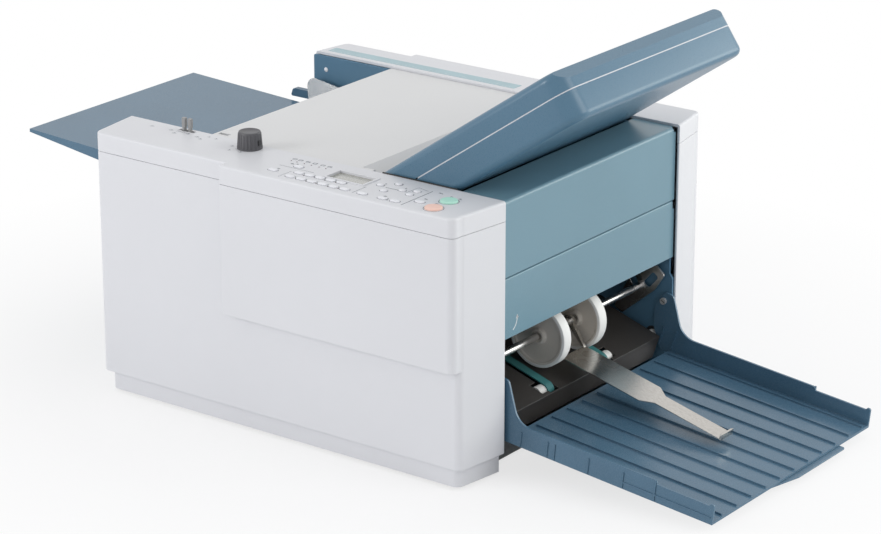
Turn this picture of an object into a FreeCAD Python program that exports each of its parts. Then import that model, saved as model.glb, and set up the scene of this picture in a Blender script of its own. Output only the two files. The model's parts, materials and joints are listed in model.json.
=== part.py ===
import FreeCAD, Part
import math
import os

# Desk paper folding machine, in millimetres.
# +X runs from the feed end to the delivery end, +Y from the operator's side to the rear, +Z up.
# The origin is on the surface the machine stands on, under the middle of its casing.

Vec = FreeCAD.Vector

# ---------------------------------------------------------------- casing
body_length = 516.0
body_width = 490.0
body_height = 319.0
foot_height = 4.0
front_depth = 83.0
rear_depth = 61.0
end_flare = 9.0
shell_wall = 3.0
cap_height = 23.0
cap_wall = 3.5
cap_edge = 3.0
corner_relief = 4.5
skirt_height = 23.5
skirt_inset = 7.0
front_setback = 12.0
rear_setback = 10.0
front_panel_length = 322.0
front_panel_bottom = 143.0
rear_panel_length = 416.0
corner_radius = 9.0

# ---------------------------------------------------------------- chassis
frame_wall = 3.0
sheet_wall = 2.0
fit_gap = 0.3
run_gap = 0.05
base_drop = 2.0
foot_radius = 14.0
stay_radius = 6.0
bush_wall = 4.0
bush_rim = 2.0

# ---------------------------------------------------------------- paper path
shaft_radius = 5.0
roller_radius = 15.0
gear_module = 1.7
gear_teeth = 18
gear_width = 7.0
paper_drop = 61.0
feed_roller_radius = 20.0
feed_roller_inset = 140.0
fold_roller_inset = 210.0
pulley_width = 7.0
belt_wall = 1.6

# ---------------------------------------------------------------- first fold plate
plate_angle = 34.5
plate_length = 273.0
plate_upper_depth = 24.0
plate_seam = 1.4
plate_lower_depth = 33.6
plate_start_inset = 158.0
plate_side_gap = 3.0
plate_corner = 24.0
plate_edge = 8.0
plate_wall = 2.5
mouth_depth = 8.0
mouth_reach = 35.0
stop_travel = 90.0

# ---------------------------------------------------------------- second fold plate
lower_plate_angle = 35.0
lower_plate_length = 235.0
lower_plate_wall = 1.5
lower_slot = 4.0

# ---------------------------------------------------------------- exit end
exit_face_out = 4.0
exit_step_height = 227.0
exit_opening_height = 157.5
flap_pin_radius = 2.0
deck_angle = 18.0
wheel_radius = 37.3
wheel_width = 14.5
wheel_offset = 36.0
tyre_depth = 3.6
wheel_shaft_radius = 4.5
wheel_shaft_inset = 38.3
wheel_shaft_height = 114.4
belt_offset = 55.0
belt_width = 13.5
idler_shoulder = 11.0
idler_radius = 8.0
drive_radius = 12.0

# ---------------------------------------------------------------- delivery tray
tray_side_gap = 5.0
tray_pivot_inset = 2.4
tray_pivot_height = 103.4
tray_pin_radius = 4.0
tray_wall = 2.5
tray_floor_wall = 3.0
tray_length = 269.5
tray_slope = 6.4
tray_root_height = 40.0
tray_rim = 25.5
tray_rim_step = 4.5
tray_rib_count = 11
tray_rib_shift = 5.0
tray_rib_width = 2.0
tray_rib_height = 2.2
wall_rib_width = 1.6
wall_rib_height = 1.1
extension_length = 190.0
extension_wall = 2.0

# ---------------------------------------------------------------- press leaf
leaf_width = 46.0
leaf_tip_width = 23.5
leaf_wall = 1.2
leaf_slope = 14.6
leaf_loop_radius = 7.5

# ---------------------------------------------------------------- feed end
feed_tray_length = 181.0
feed_tray_side_gap = 22.0
feed_tray_rise = 2.8
feed_tray_wall = 2.5
guide_height = 32.5
guide_end_height = 13.3
guide_wall = 1.5
guide_length = 120.0

# ---------------------------------------------------------------- control panel
key_length = 12.0
key_width = 6.0
key_pitch = 14.7
key_rise = 1.2
round_key_radius = 9.8
round_key_rise = 2.6
key_travel = 1.5
knob_radius = 14.6
knob_top_radius = 13.1
knob_height = 19.9
knob_inset = 332.6
knob_reach = 67.9
lcd_length = 50.0
lcd_width = 25.0
bezel_frame = 3.2
bezel_rise = 0.8
seam_gap = 0.6

# ---------------------------------------------------------------- worked out from the above
feed_x = -body_length / 2
exit_x = body_length / 2
front_y = -body_width / 2
rear_y = body_width / 2
front_inner_y = front_y + front_depth
rear_inner_y = rear_y - rear_depth
mid_y = (front_inner_y + rear_inner_y) / 2
inner_width = rear_inner_y - front_inner_y
frame_front_out = front_inner_y + fit_gap
frame_rear_out = rear_inner_y - fit_gap
frame_front_y = frame_front_out + frame_wall
frame_rear_y = frame_rear_out - frame_wall
cap_seam = body_height - cap_height
skirt_top = foot_height + skirt_height
base_top = foot_height + base_drop + sheet_wall
plate_base = body_height - 7.0
frame_top = plate_base - fit_gap
paper_height = body_height - paper_drop
feed_roller_x = feed_x + feed_roller_inset
fold_roller_x = exit_x - fold_roller_inset
plate_start_x = exit_x - plate_start_inset
exit_face_x = exit_x + exit_face_out
wheel_shaft_x = exit_x - wheel_shaft_inset
tray_pivot_x = exit_x - tray_pivot_inset
tray_width = inner_width - 2 * tray_side_gap
feed_tray_width = inner_width - 2 * feed_tray_side_gap
knob_x = exit_x - knob_inset
knob_y = front_y + knob_reach
lower_plate_depth = lower_slot + 2 * lower_plate_wall
gear_pitch = gear_module * gear_teeth
gear_y = frame_rear_out + bush_rim + 1.0
belt_one_y = gear_y + gear_width + 2.0
belt_two_y = belt_one_y + pulley_width + 2.0

solids = {}


def save(name, shapes):
    """Keep one named piece, or a group of separate like pieces."""
    group = shapes if isinstance(shapes, list) else [shapes]
    solids[name] = Part.makeCompound([solid for shape in group for solid in shape.Solids])


def box(x0, x1, y0, y1, z0, z1):
    return Part.makeBox(x1 - x0, y1 - y0, z1 - z0, Vec(x0, y0, z0))


def rod_y(x, z, radius, y0, y1):
    return Part.makeCylinder(radius, y1 - y0, Vec(x, y0, z), Vec(0, 1, 0))


def rod_z(x, y, radius, z0, z1):
    return Part.makeCylinder(radius, z1 - z0, Vec(x, y, z0), Vec(0, 0, 1))


def tube_y(x, z, outer, inner, y0, y1):
    return rod_y(x, z, outer, y0, y1).cut(rod_y(x, z, inner, y0 - 1, y1 + 1))


def outline(points, radii):
    """A closed wire through the points, each corner rounded by its own radius."""
    edges = []
    count = len(points)
    ends = []
    for index in range(count):
        corner = points[index]
        before = (points[index - 1] - corner).normalize()
        after = (points[(index + 1) % count] - corner).normalize()
        radius = radii[index]
        if radius <= 0:
            ends.append((corner, None, corner))
            continue
        half = before.getAngle(after) / 2
        reach = radius / math.tan(half)
        inward = (before + after).normalize()
        middle = corner + inward * (radius / math.sin(half) - radius)
        ends.append((corner + before * reach, middle, corner + after * reach))
    for index in range(count):
        start, middle, end = ends[index]
        if middle is not None:
            edges.append(Part.Arc(start, middle, end).toShape())
        follower = ends[(index + 1) % count][0]
        if end.distanceToPoint(follower) > 1e-6:
            edges.append(Part.makeLine(end, follower))
    return Part.Wire(edges)


def rounded(count, radius):
    return [radius] * count


def prism_y(points, y0, y1, radii=None):
    """A solid from an outline in the XZ plane, from y0 to y1."""
    corners = [Vec(x, y0, z) for x, z in points]
    wire = outline(corners, radii or rounded(len(points), 0))
    return Part.Face(wire).extrude(Vec(0, y1 - y0, 0))


def prism_z(points, z0, z1, radii=None):
    """A solid from an outline in the XY plane, from z0 to z1."""
    corners = [Vec(x, y, z0) for x, y in points]
    wire = outline(corners, radii or rounded(len(points), 0))
    return Part.Face(wire).extrude(Vec(0, 0, z1 - z0))


def tilted(shape, angle, x, z):
    """The shape turned about a Y axis through (x, z); a positive angle lifts its +X side."""
    turned = shape.copy()
    turned.rotate(Vec(x, 0, z), Vec(0, 1, 0), -angle)
    return turned


def joined(first, *others):
    return first.multiFuse(list(others)).removeSplitter() if others else first


def polar(x, z, radius, angle):
    turn = math.radians(angle)
    return x + radius * math.cos(turn), z + radius * math.sin(turn)


def belt_loop(x0, z0, r0, x1, z1, r1, y0, y1, wall):
    """A flat belt round two pulleys, standing a fit gap off each."""
    span = math.hypot(x1 - x0, z1 - z0)
    heading = math.atan2(z1 - z0, x1 - x0)
    lean = math.acos((r0 - r1) / span)

    def ring(extra):
        points = []
        for side in (1, -1):
            turn = heading + side * lean
            points.append((x0 + (r0 + extra) * math.cos(turn), z0 + (r0 + extra) * math.sin(turn)))
            points.append((x1 + (r1 + extra) * math.cos(turn), z1 + (r1 + extra) * math.sin(turn)))
        quad = prism_y([points[0], points[1], points[3], points[2]], y0, y1)
        return joined(quad, rod_y(x0, z0, r0 + extra, y0, y1), rod_y(x1, z1, r1 + extra, y0, y1))

    return ring(fit_gap + wall).cut(ring(fit_gap))


# ------------------------------------------------------------------ where the rollers sit
nip_gap = gear_pitch - 2 * roller_radius
roller_one = (fold_roller_x, paper_height + gear_pitch / 2)
roller_two = (fold_roller_x, paper_height - gear_pitch / 2)
roller_three = polar(roller_two[0], roller_two[1], gear_pitch, -35.0)
roller_four = polar(roller_three[0], roller_three[1], gear_pitch, -105.0)
feed_roller = (feed_roller_x, paper_height + 6.0 + feed_roller_radius)
deck_turn = math.radians(deck_angle)
deck_drop = wheel_radius + fit_gap
deck_touch = (wheel_shaft_x - deck_drop * math.sin(deck_turn), wheel_shaft_height - deck_drop * math.cos(deck_turn))


def deck_point(along, below):
    """A point on the sloping delivery deck, from where the wheels touch it."""
    x = deck_touch[0] + along * math.cos(deck_turn) - below * math.sin(deck_turn)
    z = deck_touch[1] - along * math.sin(deck_turn) - below * math.cos(deck_turn)
    return x, z


belt_skin = belt_wall + fit_gap
idler_along = 35.0
idler = deck_point(idler_along, idler_radius + belt_skin)
drive = deck_point(-104.0, drive_radius + belt_skin)
motor = (fold_roller_x - 18.0, 76.0)
shaft_spots = [roller_one, roller_two, roller_three, roller_four, feed_roller, idler, drive]
stay_spots = [(feed_x + 53.0, paper_height - 53.0), (fold_roller_x - 108.0, 60.0), (exit_x - 90.0, 36.0)]


# ------------------------------------------------------------------ casing
def cover_plan(y_out, y_in, inset, wall=0.0):
    """The plan of a side cover: its outer face at y_out, its open side at y_in, narrowing outwards."""
    side = 1 if y_in > y_out else -1
    outer = exit_x - inset - wall
    open_end = outer + end_flare
    face = y_out + side * wall
    return [(-open_end, y_in), (-outer, face), (outer, face), (open_end, y_in)]


def cover_block(y_out, y_in, inset, wall, z0, z1):
    radius = max(corner_radius - wall, 1.0)
    return prism_z(cover_plan(y_out, y_in, inset, wall), z0, z1, [0, radius, radius, 0])


def raised_panel(y_back, y_face, length, wall, z0, z1):
    """The proud area of a side cover, at its delivery end."""
    side = 1 if y_face > y_back else -1
    face = y_face - side * wall
    start = exit_x - length + wall
    end = exit_x - wall
    back = y_back - side * (corner_radius + wall)
    points = [(start, back), (start, face), (end, face), (end, back)]
    return prism_z(points, z0, z1, [0, 2.0, max(corner_radius - wall, 1.0), 0])


def side_cover(y_out, y_in, setback, length, panel_bottom):
    """A side cover: skirt, set-back wall and proud panel, hollow and open to the inside."""
    side = 1 if y_in > y_out else -1
    y_wall = y_out + side * setback
    y_skirt = y_wall + side * skirt_inset

    def block(wall, y_end, z0, z1):
        ledge = skirt_top + wall
        main = cover_block(y_wall, y_end, 0, wall, ledge, z1)
        skirt = cover_block(y_skirt, y_end, skirt_inset, wall, z0, ledge)
        panel = raised_panel(y_wall, y_out, length, wall, panel_bottom + wall, z1)
        return joined(main, skirt, panel)

    outer = block(0.0, y_in, foot_height, cap_seam)
    return outer.cut(block(shell_wall, y_in + side, foot_height - 1, cap_seam + 1))


def side_cap(y_out, y_in, setback, length):
    """The lid of a side cover, with a rounded top edge."""
    side = 1 if y_in > y_out else -1
    y_wall = y_out + side * setback
    lid = joined(
        cover_block(y_wall, y_in, 0, 0.0, cap_seam + seam_gap, body_height),
        raised_panel(y_wall, y_out, length, 0.0, cap_seam + seam_gap, body_height),
    )
    top = [edge for edge in lid.Edges if edge.BoundBox.ZMin > body_height - 0.1]
    lid = lid.makeFillet(cap_edge, [edge for edge in top if abs(edge.BoundBox.Center.y - y_in) > 0.1])
    under = body_height - cap_wall
    hollow = joined(
        cover_block(y_wall, y_in + side, 0, shell_wall, cap_seam - 1, under),
        raised_panel(y_wall, y_out, length, shell_wall, cap_seam - 1, under),
    )
    return lid.cut(hollow)


def casing():
    front = side_cover(front_y, front_inner_y, front_setback, front_panel_length, front_panel_bottom)
    rear = side_cover(rear_y, rear_inner_y, rear_setback, rear_panel_length, skirt_top)
    inlet = box(inlet_x - 24.3, switch_x + 11.3, rear_y - 40, rear_y + 1, inlet_z - 14.3, inlet_z + 14.3)
    save("front_cover", front)
    save("rear_cover", rear.cut(inlet))


inlet_x = feed_x + 43.0
switch_x = inlet_x + 36.5
inlet_z = 70.0
rear_wall_y = rear_y - rear_setback

# ------------------------------------------------------------------ control panel layout
row_front_y = front_y + 13.5
row_back_y = front_y + 29.0
key_row_x = exit_x - 230.5


def on_panel(spots):
    """Places given from the delivery end and the front of the panel."""
    return [(exit_x + dx, front_y + dy) for dx, dy in spots]


key_spots = [(key_row_x + key_pitch * i, row_back_y) for i in range(5)]
key_spots += [(key_row_x + (key_pitch + 0.4) * i, row_front_y) for i in range(6)]
key_spots += on_panel([(-130.6, 13.0), (-260.9, 21.1), (-244.6, 46.0), (-103.5, 13.5), (-87.0, 13.5), (-64.0, 27.0)])
small_spots = on_panel([(-132.6, 48.0), (-118.0, 61.5), (-118.0, 34.5), (-102.4, 47.0), (-87.3, 53.5), (-87.3, 40.0)])
start_spot = (exit_x - 39.6, front_y + 46.6)
stop_spot = (exit_x - 39.4, front_y + 18.7)
lcd_spot = (exit_x - 173.7, front_y + 49.3)
board_top = body_height - cap_wall - 4.0
small_key_length = 8.5
board_wall = 1.6
board_y0 = front_y + 8.0
board_y1 = front_inner_y - 12.0
board_x0 = exit_x - 308.0
board_x1 = exit_x - 18.0
board_posts = on_panel([(-298.0, 45.0), (-218.0, 67.0), (-23.0, 30.0), (-158.0, 67.0)])
mat_x0 = exit_x - 270.0
mat_x1 = exit_x - 55.0
mat_y1 = front_y + 65.5
mat_wall = 1.5


def stadium(x, y, length, width, z0, z1):
    half = length / 2
    deep = width / 2
    points = [(x - half, y - deep), (x + half, y - deep), (x + half, y + deep), (x - half, y + deep)]
    return prism_z(points, z0, z1, rounded(4, deep - 0.05))


def control_panel():
    cap = side_cap(front_y, front_inner_y, front_setback, front_panel_length)
    below = body_height - cap_wall - 1
    above = body_height + 2
    tools = [stadium(x, y, key_length + 0.6, key_width + 0.6, below, above) for x, y in key_spots]
    tools += [stadium(x, y, small_key_length + 0.6, key_width + 0.6, below, above) for x, y in small_spots]
    for x, y in (start_spot, stop_spot):
        tools.append(rod_z(x, y, round_key_radius + fit_gap, below, above))
    half_x = lcd_length / 2
    half_y = lcd_width / 2
    lcd_x, lcd_y = lcd_spot
    tools.append(box(lcd_x - half_x, lcd_x + half_x, lcd_y - half_y, lcd_y + half_y, below, above))
    tools.append(rod_z(knob_x, knob_y, knob_shaft_radius + run_gap, below, above))
    for x in lever_spots:
        tools.append(box(x - lever_slot, x + lever_slot, lever_y0 - 1.0, lever_y1 + 0.6, below, above))
    deep_x = half_x + bezel_frame
    deep_y = half_y + bezel_frame
    bezel = box(lcd_x - deep_x, lcd_x + deep_x, lcd_y - deep_y, lcd_y + deep_y, body_height - 1.0,
                body_height + bezel_rise)
    save("front_cap", cap.fuse(bezel).cut(Part.makeCompound(tools)).removeSplitter())

    under = body_height - cap_wall
    board = box(board_x0, board_x1, board_y0, board_y1, board_top - board_wall, board_top)
    board = board.fuse(box(knob_x - 12.0, board_x0 + 1.0, board_y0 + front_setback, board_y1, board_top - board_wall, board_top))
    for x, y in board_posts:
        board = board.fuse(rod_z(x, y, 3.0, board_top - 0.5, under))
    switch = box(knob_x - 9, knob_x + 9, knob_y - 9, knob_y + 9, under - 22.0, under)
    board = board.fuse(switch).cut(rod_z(knob_x, knob_y, knob_shaft_radius + run_gap, under - 20.0, under + 1))
    save("panel_board", board.removeSplitter())
    mat = box(mat_x0, mat_x1, board_y0 + 1.0, mat_y1, board_top, board_top + mat_wall)
    for x, y in [start_spot, stop_spot] + board_posts:
        mat = mat.cut(rod_z(x, y, round_key_radius + 1.0 if x > mat_x1 - 40 else 3.3, board_top - 1, under))
    mat = mat.cut(box(lcd_x - half_x - 1, lcd_x + half_x + 1, lcd_y - half_y - 1, lcd_y + half_y + 1, board_top - 1, under))
    bumps = [stadium(x, y, key_length, key_width, board_top, body_height + key_rise) for x, y in key_spots]
    bumps += [stadium(x, y, small_key_length, key_width, board_top, body_height + key_rise) for x, y in small_spots]
    save("panel_keys", joined(mat, *bumps))
    glass_top = body_height - 1.2
    lens = box(lcd_x - half_x + fit_gap, lcd_x + half_x - fit_gap, lcd_y - half_y + fit_gap,
               lcd_y + half_y - fit_gap, board_top, glass_top)
    save("lcd_window", lens)
    for name, spot in (("start_key", start_spot), ("stop_key", stop_spot)):
        x, y = spot
        low = board_top + key_travel + fit_gap
        button = rod_z(x, y, round_key_radius, low, body_height + round_key_rise)
        crown = [edge for edge in button.Edges if edge.BoundBox.ZMin > body_height + round_key_rise - 0.1]
        save(name, button.makeFillet(1.6, crown))


knob_shaft_radius = 3.0
knob_seat = body_height + fit_gap


def setting_knob():
    """The fold setting knob with its shaft."""
    skirt = Part.makeCone(knob_radius, knob_top_radius, knob_height, Vec(knob_x, knob_y, knob_seat), Vec(0, 0, 1))
    crown = [edge for edge in skirt.Edges if edge.BoundBox.ZMin > knob_seat + knob_height - 0.1]
    skirt = skirt.makeFillet(2.0, crown)
    shaft = rod_z(knob_x, knob_y, knob_shaft_radius, body_height - 20.0, knob_seat + 1)
    save("setting_knob", joined(skirt, shaft))


def rear_top():
    cap = side_cap(rear_y, rear_inner_y, rear_setback, rear_panel_length)
    strip_y0 = rear_inner_y + 8.0
    strip = box(feed_x + 4.0, 28.0, strip_y0, strip_y0 + 16.0, body_height - 0.6, body_height + 0.2)
    save("rear_cap", cap.cut(strip))
    save("size_scale", strip)


# ------------------------------------------------------------------ chassis
def frame_holes(y0, y1):
    """The holes through a side frame, for the bushes, the flap pins and the tray screws."""
    holes = [rod_y(x, z, shaft_radius + bush_wall, y0, y1) for x, z in shaft_spots]
    holes.append(rod_y(flap_hinge[0], flap_hinge[1], flap_pin_radius + run_gap, y0, y1))
    holes.append(rod_y(motor[0], motor[1], motor_shaft_radius + 2.0, y0, y1))
    holes.append(rod_y(tray_pivot_x, tray_pivot_height, tray_pin_radius, y0, y1))
    return Part.makeCompound(holes)


top_hinge = (fold_roller_x + 30.0, body_height - 13.0)
top_pin_radius = 3.0
flap_hinge = (exit_face_x - 6.0, exit_step_height - 5.0)
feed_hinge = (feed_x - 4.0, paper_height - 8.0)
feed_pin_radius = 4.0
lever_height = body_height - 27.0
lever_pin_radius = 2.5
stub_reach = 7.0


def side_frame(y0, y1, wing):
    """One side plate: a foot flange turned outwards, and studs for the lid and the feed tray."""
    left = feed_x + 3.0
    wing_left = feed_x - 10.0
    right = exit_face_x - sheet_wall - 0.4
    foot_x = exit_x - 2.0
    points = [(left, base_top), (foot_x, base_top), (foot_x, lug_low), (tray_lug_x, lug_low + 8.0),
              (tray_lug_x, lug_top), (right, lug_top + 6.0), (right, frame_top), (wing_right, frame_top),
              (wing_right, wing_top), (wing_left, wing_top), (wing_left, wing), (left, wing)]
    plate = prism_y(points, y0, y1, [0, 0, 0, 0, 0, 0, 0, 0, 0, 2.0, 4.0, 0])
    plate = plate.cut(rod_y(feed_x + 9.0, body_height - 21.0, 3.0, y0 - 1, y1 + 1))
    rear = y0 > mid_y
    outward = y1 if rear else y0
    inward = y0 if rear else y1
    reach = 14.0 if rear else -14.0
    stub = -stub_reach if rear else stub_reach
    flange = box(left + 10, exit_x - 10, min(outward, outward + reach), max(outward, outward + reach), base_top,
                 base_top + frame_wall)
    shape = joined(plate, flange).cut(frame_holes(y0 - 1, y1 + 1))
    for x, z, radius, extra in ((top_hinge[0], top_hinge[1], top_pin_radius, 0.0),
                                (feed_hinge[0], feed_hinge[1], feed_pin_radius, feed_stub_extra)):
        end = inward + stub + (-extra if rear else extra)
        shape = shape.fuse(rod_y(x, z, radius, min(inward, end), max(inward, end)))
    return shape


tray_lug_x = exit_x + 6.0
lug_top = tray_pivot_height + 28.0
lug_low = 60.0
lid_x0 = feed_x + 109.0
wing_right = lid_x0 - 1.0
wing_top = body_height - cap_wall - fit_gap
feed_y0 = mid_y - feed_tray_width / 2
feed_y1 = mid_y + feed_tray_width / 2
feed_stub_extra = feed_y0 - frame_front_y - stub_reach + feed_tray_wall + 1.5


def chassis():
    front = side_frame(frame_front_out, frame_front_y, feed_hinge[1] - 20.0)
    for x in lever_spots:
        front = front.fuse(rod_y(x, lever_height, lever_pin_radius, lever_y0 - 1.5, frame_front_out))
    save("frame_front", front)
    save("frame_rear", side_frame(frame_rear_y, frame_rear_out, feed_hinge[1] - 20.0))
    skirt_face = front_y + front_setback + skirt_inset + shell_wall + fit_gap
    skirt_back = rear_y - rear_setback - skirt_inset - shell_wall - fit_gap
    base_end = exit_x - skirt_inset - shell_wall - 4.0
    base_low = foot_height + base_drop
    pan = box(-base_end, base_end, skirt_face, skirt_back, base_low, base_top)
    for x0 in (-base_end, base_end - sheet_wall):
        pan = pan.fuse(box(x0, x0 + sheet_wall, frame_front_y + 5, frame_rear_y - 5, base_low, base_top + 18.0))
    save("base_plate", pan.removeSplitter())
    feet = []
    for x in (feed_x + 45.0, exit_x - 45.0):
        for y in (skirt_face + 30.0, skirt_back - 30.0):
            foot = Part.makeCone(foot_radius - 2.0, foot_radius, base_low, Vec(x, y, 0), Vec(0, 0, 1))
            feet.append(foot)
    save("rubber_feet", feet)
    save("cross_stays", [rod_y(x, z, stay_radius, frame_front_y, frame_rear_y) for x, z in stay_spots])
    bushes = []
    for x, z in shaft_spots:
        outer = shaft_radius + bush_wall
        for y0, y1, lip0, lip1 in (
            (frame_front_out, frame_front_y, frame_front_out - bush_rim, frame_front_out),
            (frame_rear_y, frame_rear_out, frame_rear_out, frame_rear_out + bush_rim),
        ):
            bush = joined(rod_y(x, z, outer, y0, y1), rod_y(x, z, outer + 2.0, lip0, lip1))
            bushes.append(bush.cut(rod_y(x, z, shaft_radius + run_gap, lip0 - 9, lip1 + 9)))
    save("shaft_bushes", bushes)


def end_covers():
    """The bent sheet covers between the side covers, at both ends."""
    y0 = front_inner_y + fit_gap
    y1 = rear_inner_y - fit_gap
    top = body_height - 3.0
    left = plate_start_x + 104.0
    face = exit_face_x
    low = exit_step_height + 1.2
    skin = sheet_wall
    points = [(left, top - skin), (face - skin, top - skin), (face - skin, low), (face, low), (face, top),
              (left, top)]
    bend = prism_y(points, y0, y1, [0, 2.0, 0, 0, 4.0, 0])
    for start in (y0 - 1.0, y1 - corner_relief):
        bend = bend.cut(box(face - corner_relief, face + 1.0, start, start + corner_relief + 1.0,
                            top - corner_relief - 1.5, top + 1.0))
    save("exit_cover", bend)
    feed_face = feed_x - 8.0
    save("feed_end_cover", box(feed_face, feed_face + skin, y0, y1, skirt_top, feed_hinge[1] - 24.0).fuse(
        box(feed_face, feed_x + 3.0 - fit_gap, y0, y1, skirt_top, skirt_top + skin)).removeSplitter())


# ------------------------------------------------------------------ lids that open
ear_width = stub_reach + 1.0


def top_lid():
    top = body_height - 3.0
    low = top - 3.0
    x0 = lid_x0
    y0 = frame_front_y + fit_gap
    y1 = frame_rear_y - fit_gap
    hinge_x, hinge_z = top_hinge
    lid = box(x0, hinge_x - 10.0, front_inner_y + 1.0, rear_inner_y - 1.0, low, top)
    lid = lid.fuse(box(hinge_x - 11.0, hinge_x + 4.0, y0, y1, low, top))
    lid = lid.fuse(box(x0, x0 + 3.0, y0 + 3, y1 - 3, low - 8.0, low))
    lid = lid.fuse(box(hinge_x + 2.0, hinge_x + 4.0, y0, y1, hinge_z - 1.0, low))
    lid = lid.cut(box(x0 + 3.5, x0 + 18.0, y0 + 9.4, y0 + 15.4, low - 1, top + 1))
    for start in (y0, y1 - ear_width):
        ear = box(hinge_x - 6.0, hinge_x + 4.0, start, start + ear_width, hinge_z - 5.5, low)
        bore = rod_y(hinge_x, hinge_z, top_pin_radius + run_gap, start - 1, start + ear_width + 1)
        lid = lid.fuse(ear).cut(bore)
    save("top_lid", lid.removeSplitter())


def exit_flap():
    """The lower exit panel, hung on two stub pins at its top corners."""
    y0 = front_inner_y + fit_gap
    y1 = rear_inner_y - fit_gap
    face = exit_face_x
    skin = sheet_wall
    hinge_x, hinge_z = flap_hinge
    panel = box(face - skin, face, y0, y1, exit_opening_height, hinge_z - 5.0)
    upper = box(face - skin, face, frame_front_y + fit_gap, frame_rear_y - fit_gap, hinge_z - 6.0, exit_step_height)
    upper = upper.makeFillet(skin - 0.1, [edge for edge in upper.Edges if edge.BoundBox.ZMin > exit_step_height - 0.1
                                          and edge.BoundBox.XMin > face - 0.1])
    turned = box(face - 12.0, face, y0 + 12, y1 - 12, exit_opening_height, exit_opening_height + skin)
    shape = panel.fuse(upper).fuse(turned)
    for start, out in ((frame_front_y + fit_gap, frame_front_out), (frame_rear_y - fit_gap - 3.0, frame_rear_out)):
        ear = box(hinge_x - 4.0, face, start, start + 3.0, hinge_z - 9.0, hinge_z + 4.0)
        inner = start + 1.5
        stub = rod_y(hinge_x, hinge_z, flap_pin_radius, min(inner, out), max(inner, out))
        shape = shape.fuse(ear).fuse(stub)
    save("exit_flap", shape.removeSplitter())


# ------------------------------------------------------------------ first fold plate
plate_y0 = front_inner_y + plate_side_gap
plate_y1 = rear_inner_y - plate_side_gap
plate_depth = plate_upper_depth + plate_seam + plate_lower_depth


def plate_frame(shape):
    """Move a shape drawn flat, X along the plate and Z up from its top face, to the tilted plate."""
    moved = shape.copy()
    moved.translate(Vec(plate_start_x, 0, body_height))
    return tilted(moved, plate_angle, plate_start_x, body_height)


def plate_shell(v0, v1, wall, inner0, inner1, rim):
    """One half of the housing: v0 to v1 deep, hollow from inner0 to inner1."""
    start = -40.0
    plan = [(start, plate_y0), (plate_length, plate_y0), (plate_length, plate_y1), (start, plate_y1)]
    shell = prism_z(plan, v0, v1, [0, plate_corner, plate_corner, 0])
    edges = [e for e in shell.Edges if abs(e.BoundBox.ZMin - rim) < 1e-3 and abs(e.BoundBox.ZMax - rim) < 1e-3]
    edges = [e for e in edges if e.BoundBox.XMax > start + 1]
    shell = shell.makeFillet(plate_edge, edges)
    room = [(start - 9, plate_y0 + wall), (plate_length - wall, plate_y0 + wall),
            (plate_length - wall, plate_y1 - wall), (start - 9, plate_y1 - wall)]
    inner_corner = plate_corner - wall
    return shell.cut(prism_z(room, inner0, inner1, [0, inner_corner, inner_corner, 0]))


def first_fold_plate():
    ground = box(-400, 900, -400, 400, -400, plate_base)
    seam_top = -plate_upper_depth
    seam_low = seam_top - plate_seam
    bottom = -plate_depth
    upper = plate_shell(seam_top, 0.0, plate_wall, seam_top - 1, -plate_wall, 0.0)
    lower = plate_shell(bottom, seam_low, plate_wall, bottom + plate_wall, seam_low + 1, bottom)
    save("fold_plate_upper_shell", plate_frame(upper).cut(ground))

    rail_v = -plate_depth / 2
    inner_y0 = plate_y0 + plate_wall
    inner_y1 = plate_y1 - plate_wall
    mouth_top = rail_v + mouth_depth / 2
    mouth_low = rail_v - mouth_depth / 2
    mouth = box(-mouth_reach, mouth_end, inner_y0 + fit_gap, inner_y1 - fit_gap, mouth_low, mouth_top)
    grip = box(mouth_end - 20.0, mouth_end, inner_y0 - 1.0, inner_y1 + 1.0, mouth_low, seam_low - 4.0)
    slot = box(-mouth_reach - 1, mouth_end + 1, slot_y[0], slot_y[1], rail_v - 2.0, rail_v + 2.0)
    housing = plate_frame(lower).cut(ground)
    block = plate_frame(mouth.fuse(grip).cut(slot))
    for side, y in zip((-1, 1), stop_rail_y):
        wall_y = inner_y0 - 1.0 if side < 0 else inner_y1 + 1.0
        inner_y = y - side * (rail_radius + 2.0)
        boss = box(rail_end - 6.0, rail_end, min(wall_y, inner_y), max(wall_y, inner_y), rail_v - 7.0, seam_low - 1.0)
        rail = Part.makeCylinder(rail_radius, rail_end - mouth_end + 6.0, Vec(mouth_end - 8.0, y, rail_v), Vec(1, 0, 0))
        block = block.fuse(plate_frame(boss.fuse(rail)))
    save("fold_plate_lower_shell", housing.fuse(block).removeSplitter())

    bar = box(stop_rest, stop_rest + 12.0, inner_y0 + 1.5, inner_y1 - 1.5, rail_v - 12, rail_v + 12)
    for y in stop_rail_y:
        bar = bar.cut(Part.makeCylinder(rail_radius + run_gap, 40, Vec(stop_rest - 10, y, rail_v), Vec(1, 0, 0)))
    save("fold_stop", plate_frame(bar))


rail_radius = 3.0
stop_rail_y = (plate_y0 + plate_wall + 7.0, plate_y1 - plate_wall - 7.0)
slot_y = (stop_rail_y[0] + 6.0, stop_rail_y[1] - 6.0)
mouth_end = 92.0
stop_rest = 120.0
rail_end = plate_length - 30.0


# ------------------------------------------------------------------ second fold plate
lower_root = (fold_roller_x - 12.0, paper_height - 60.0)


def lower_frame(shape):
    moved = shape.copy()
    moved.translate(Vec(lower_root[0], 0, lower_root[1]))
    return tilted(moved, lower_plate_angle, lower_root[0], lower_root[1])


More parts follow.
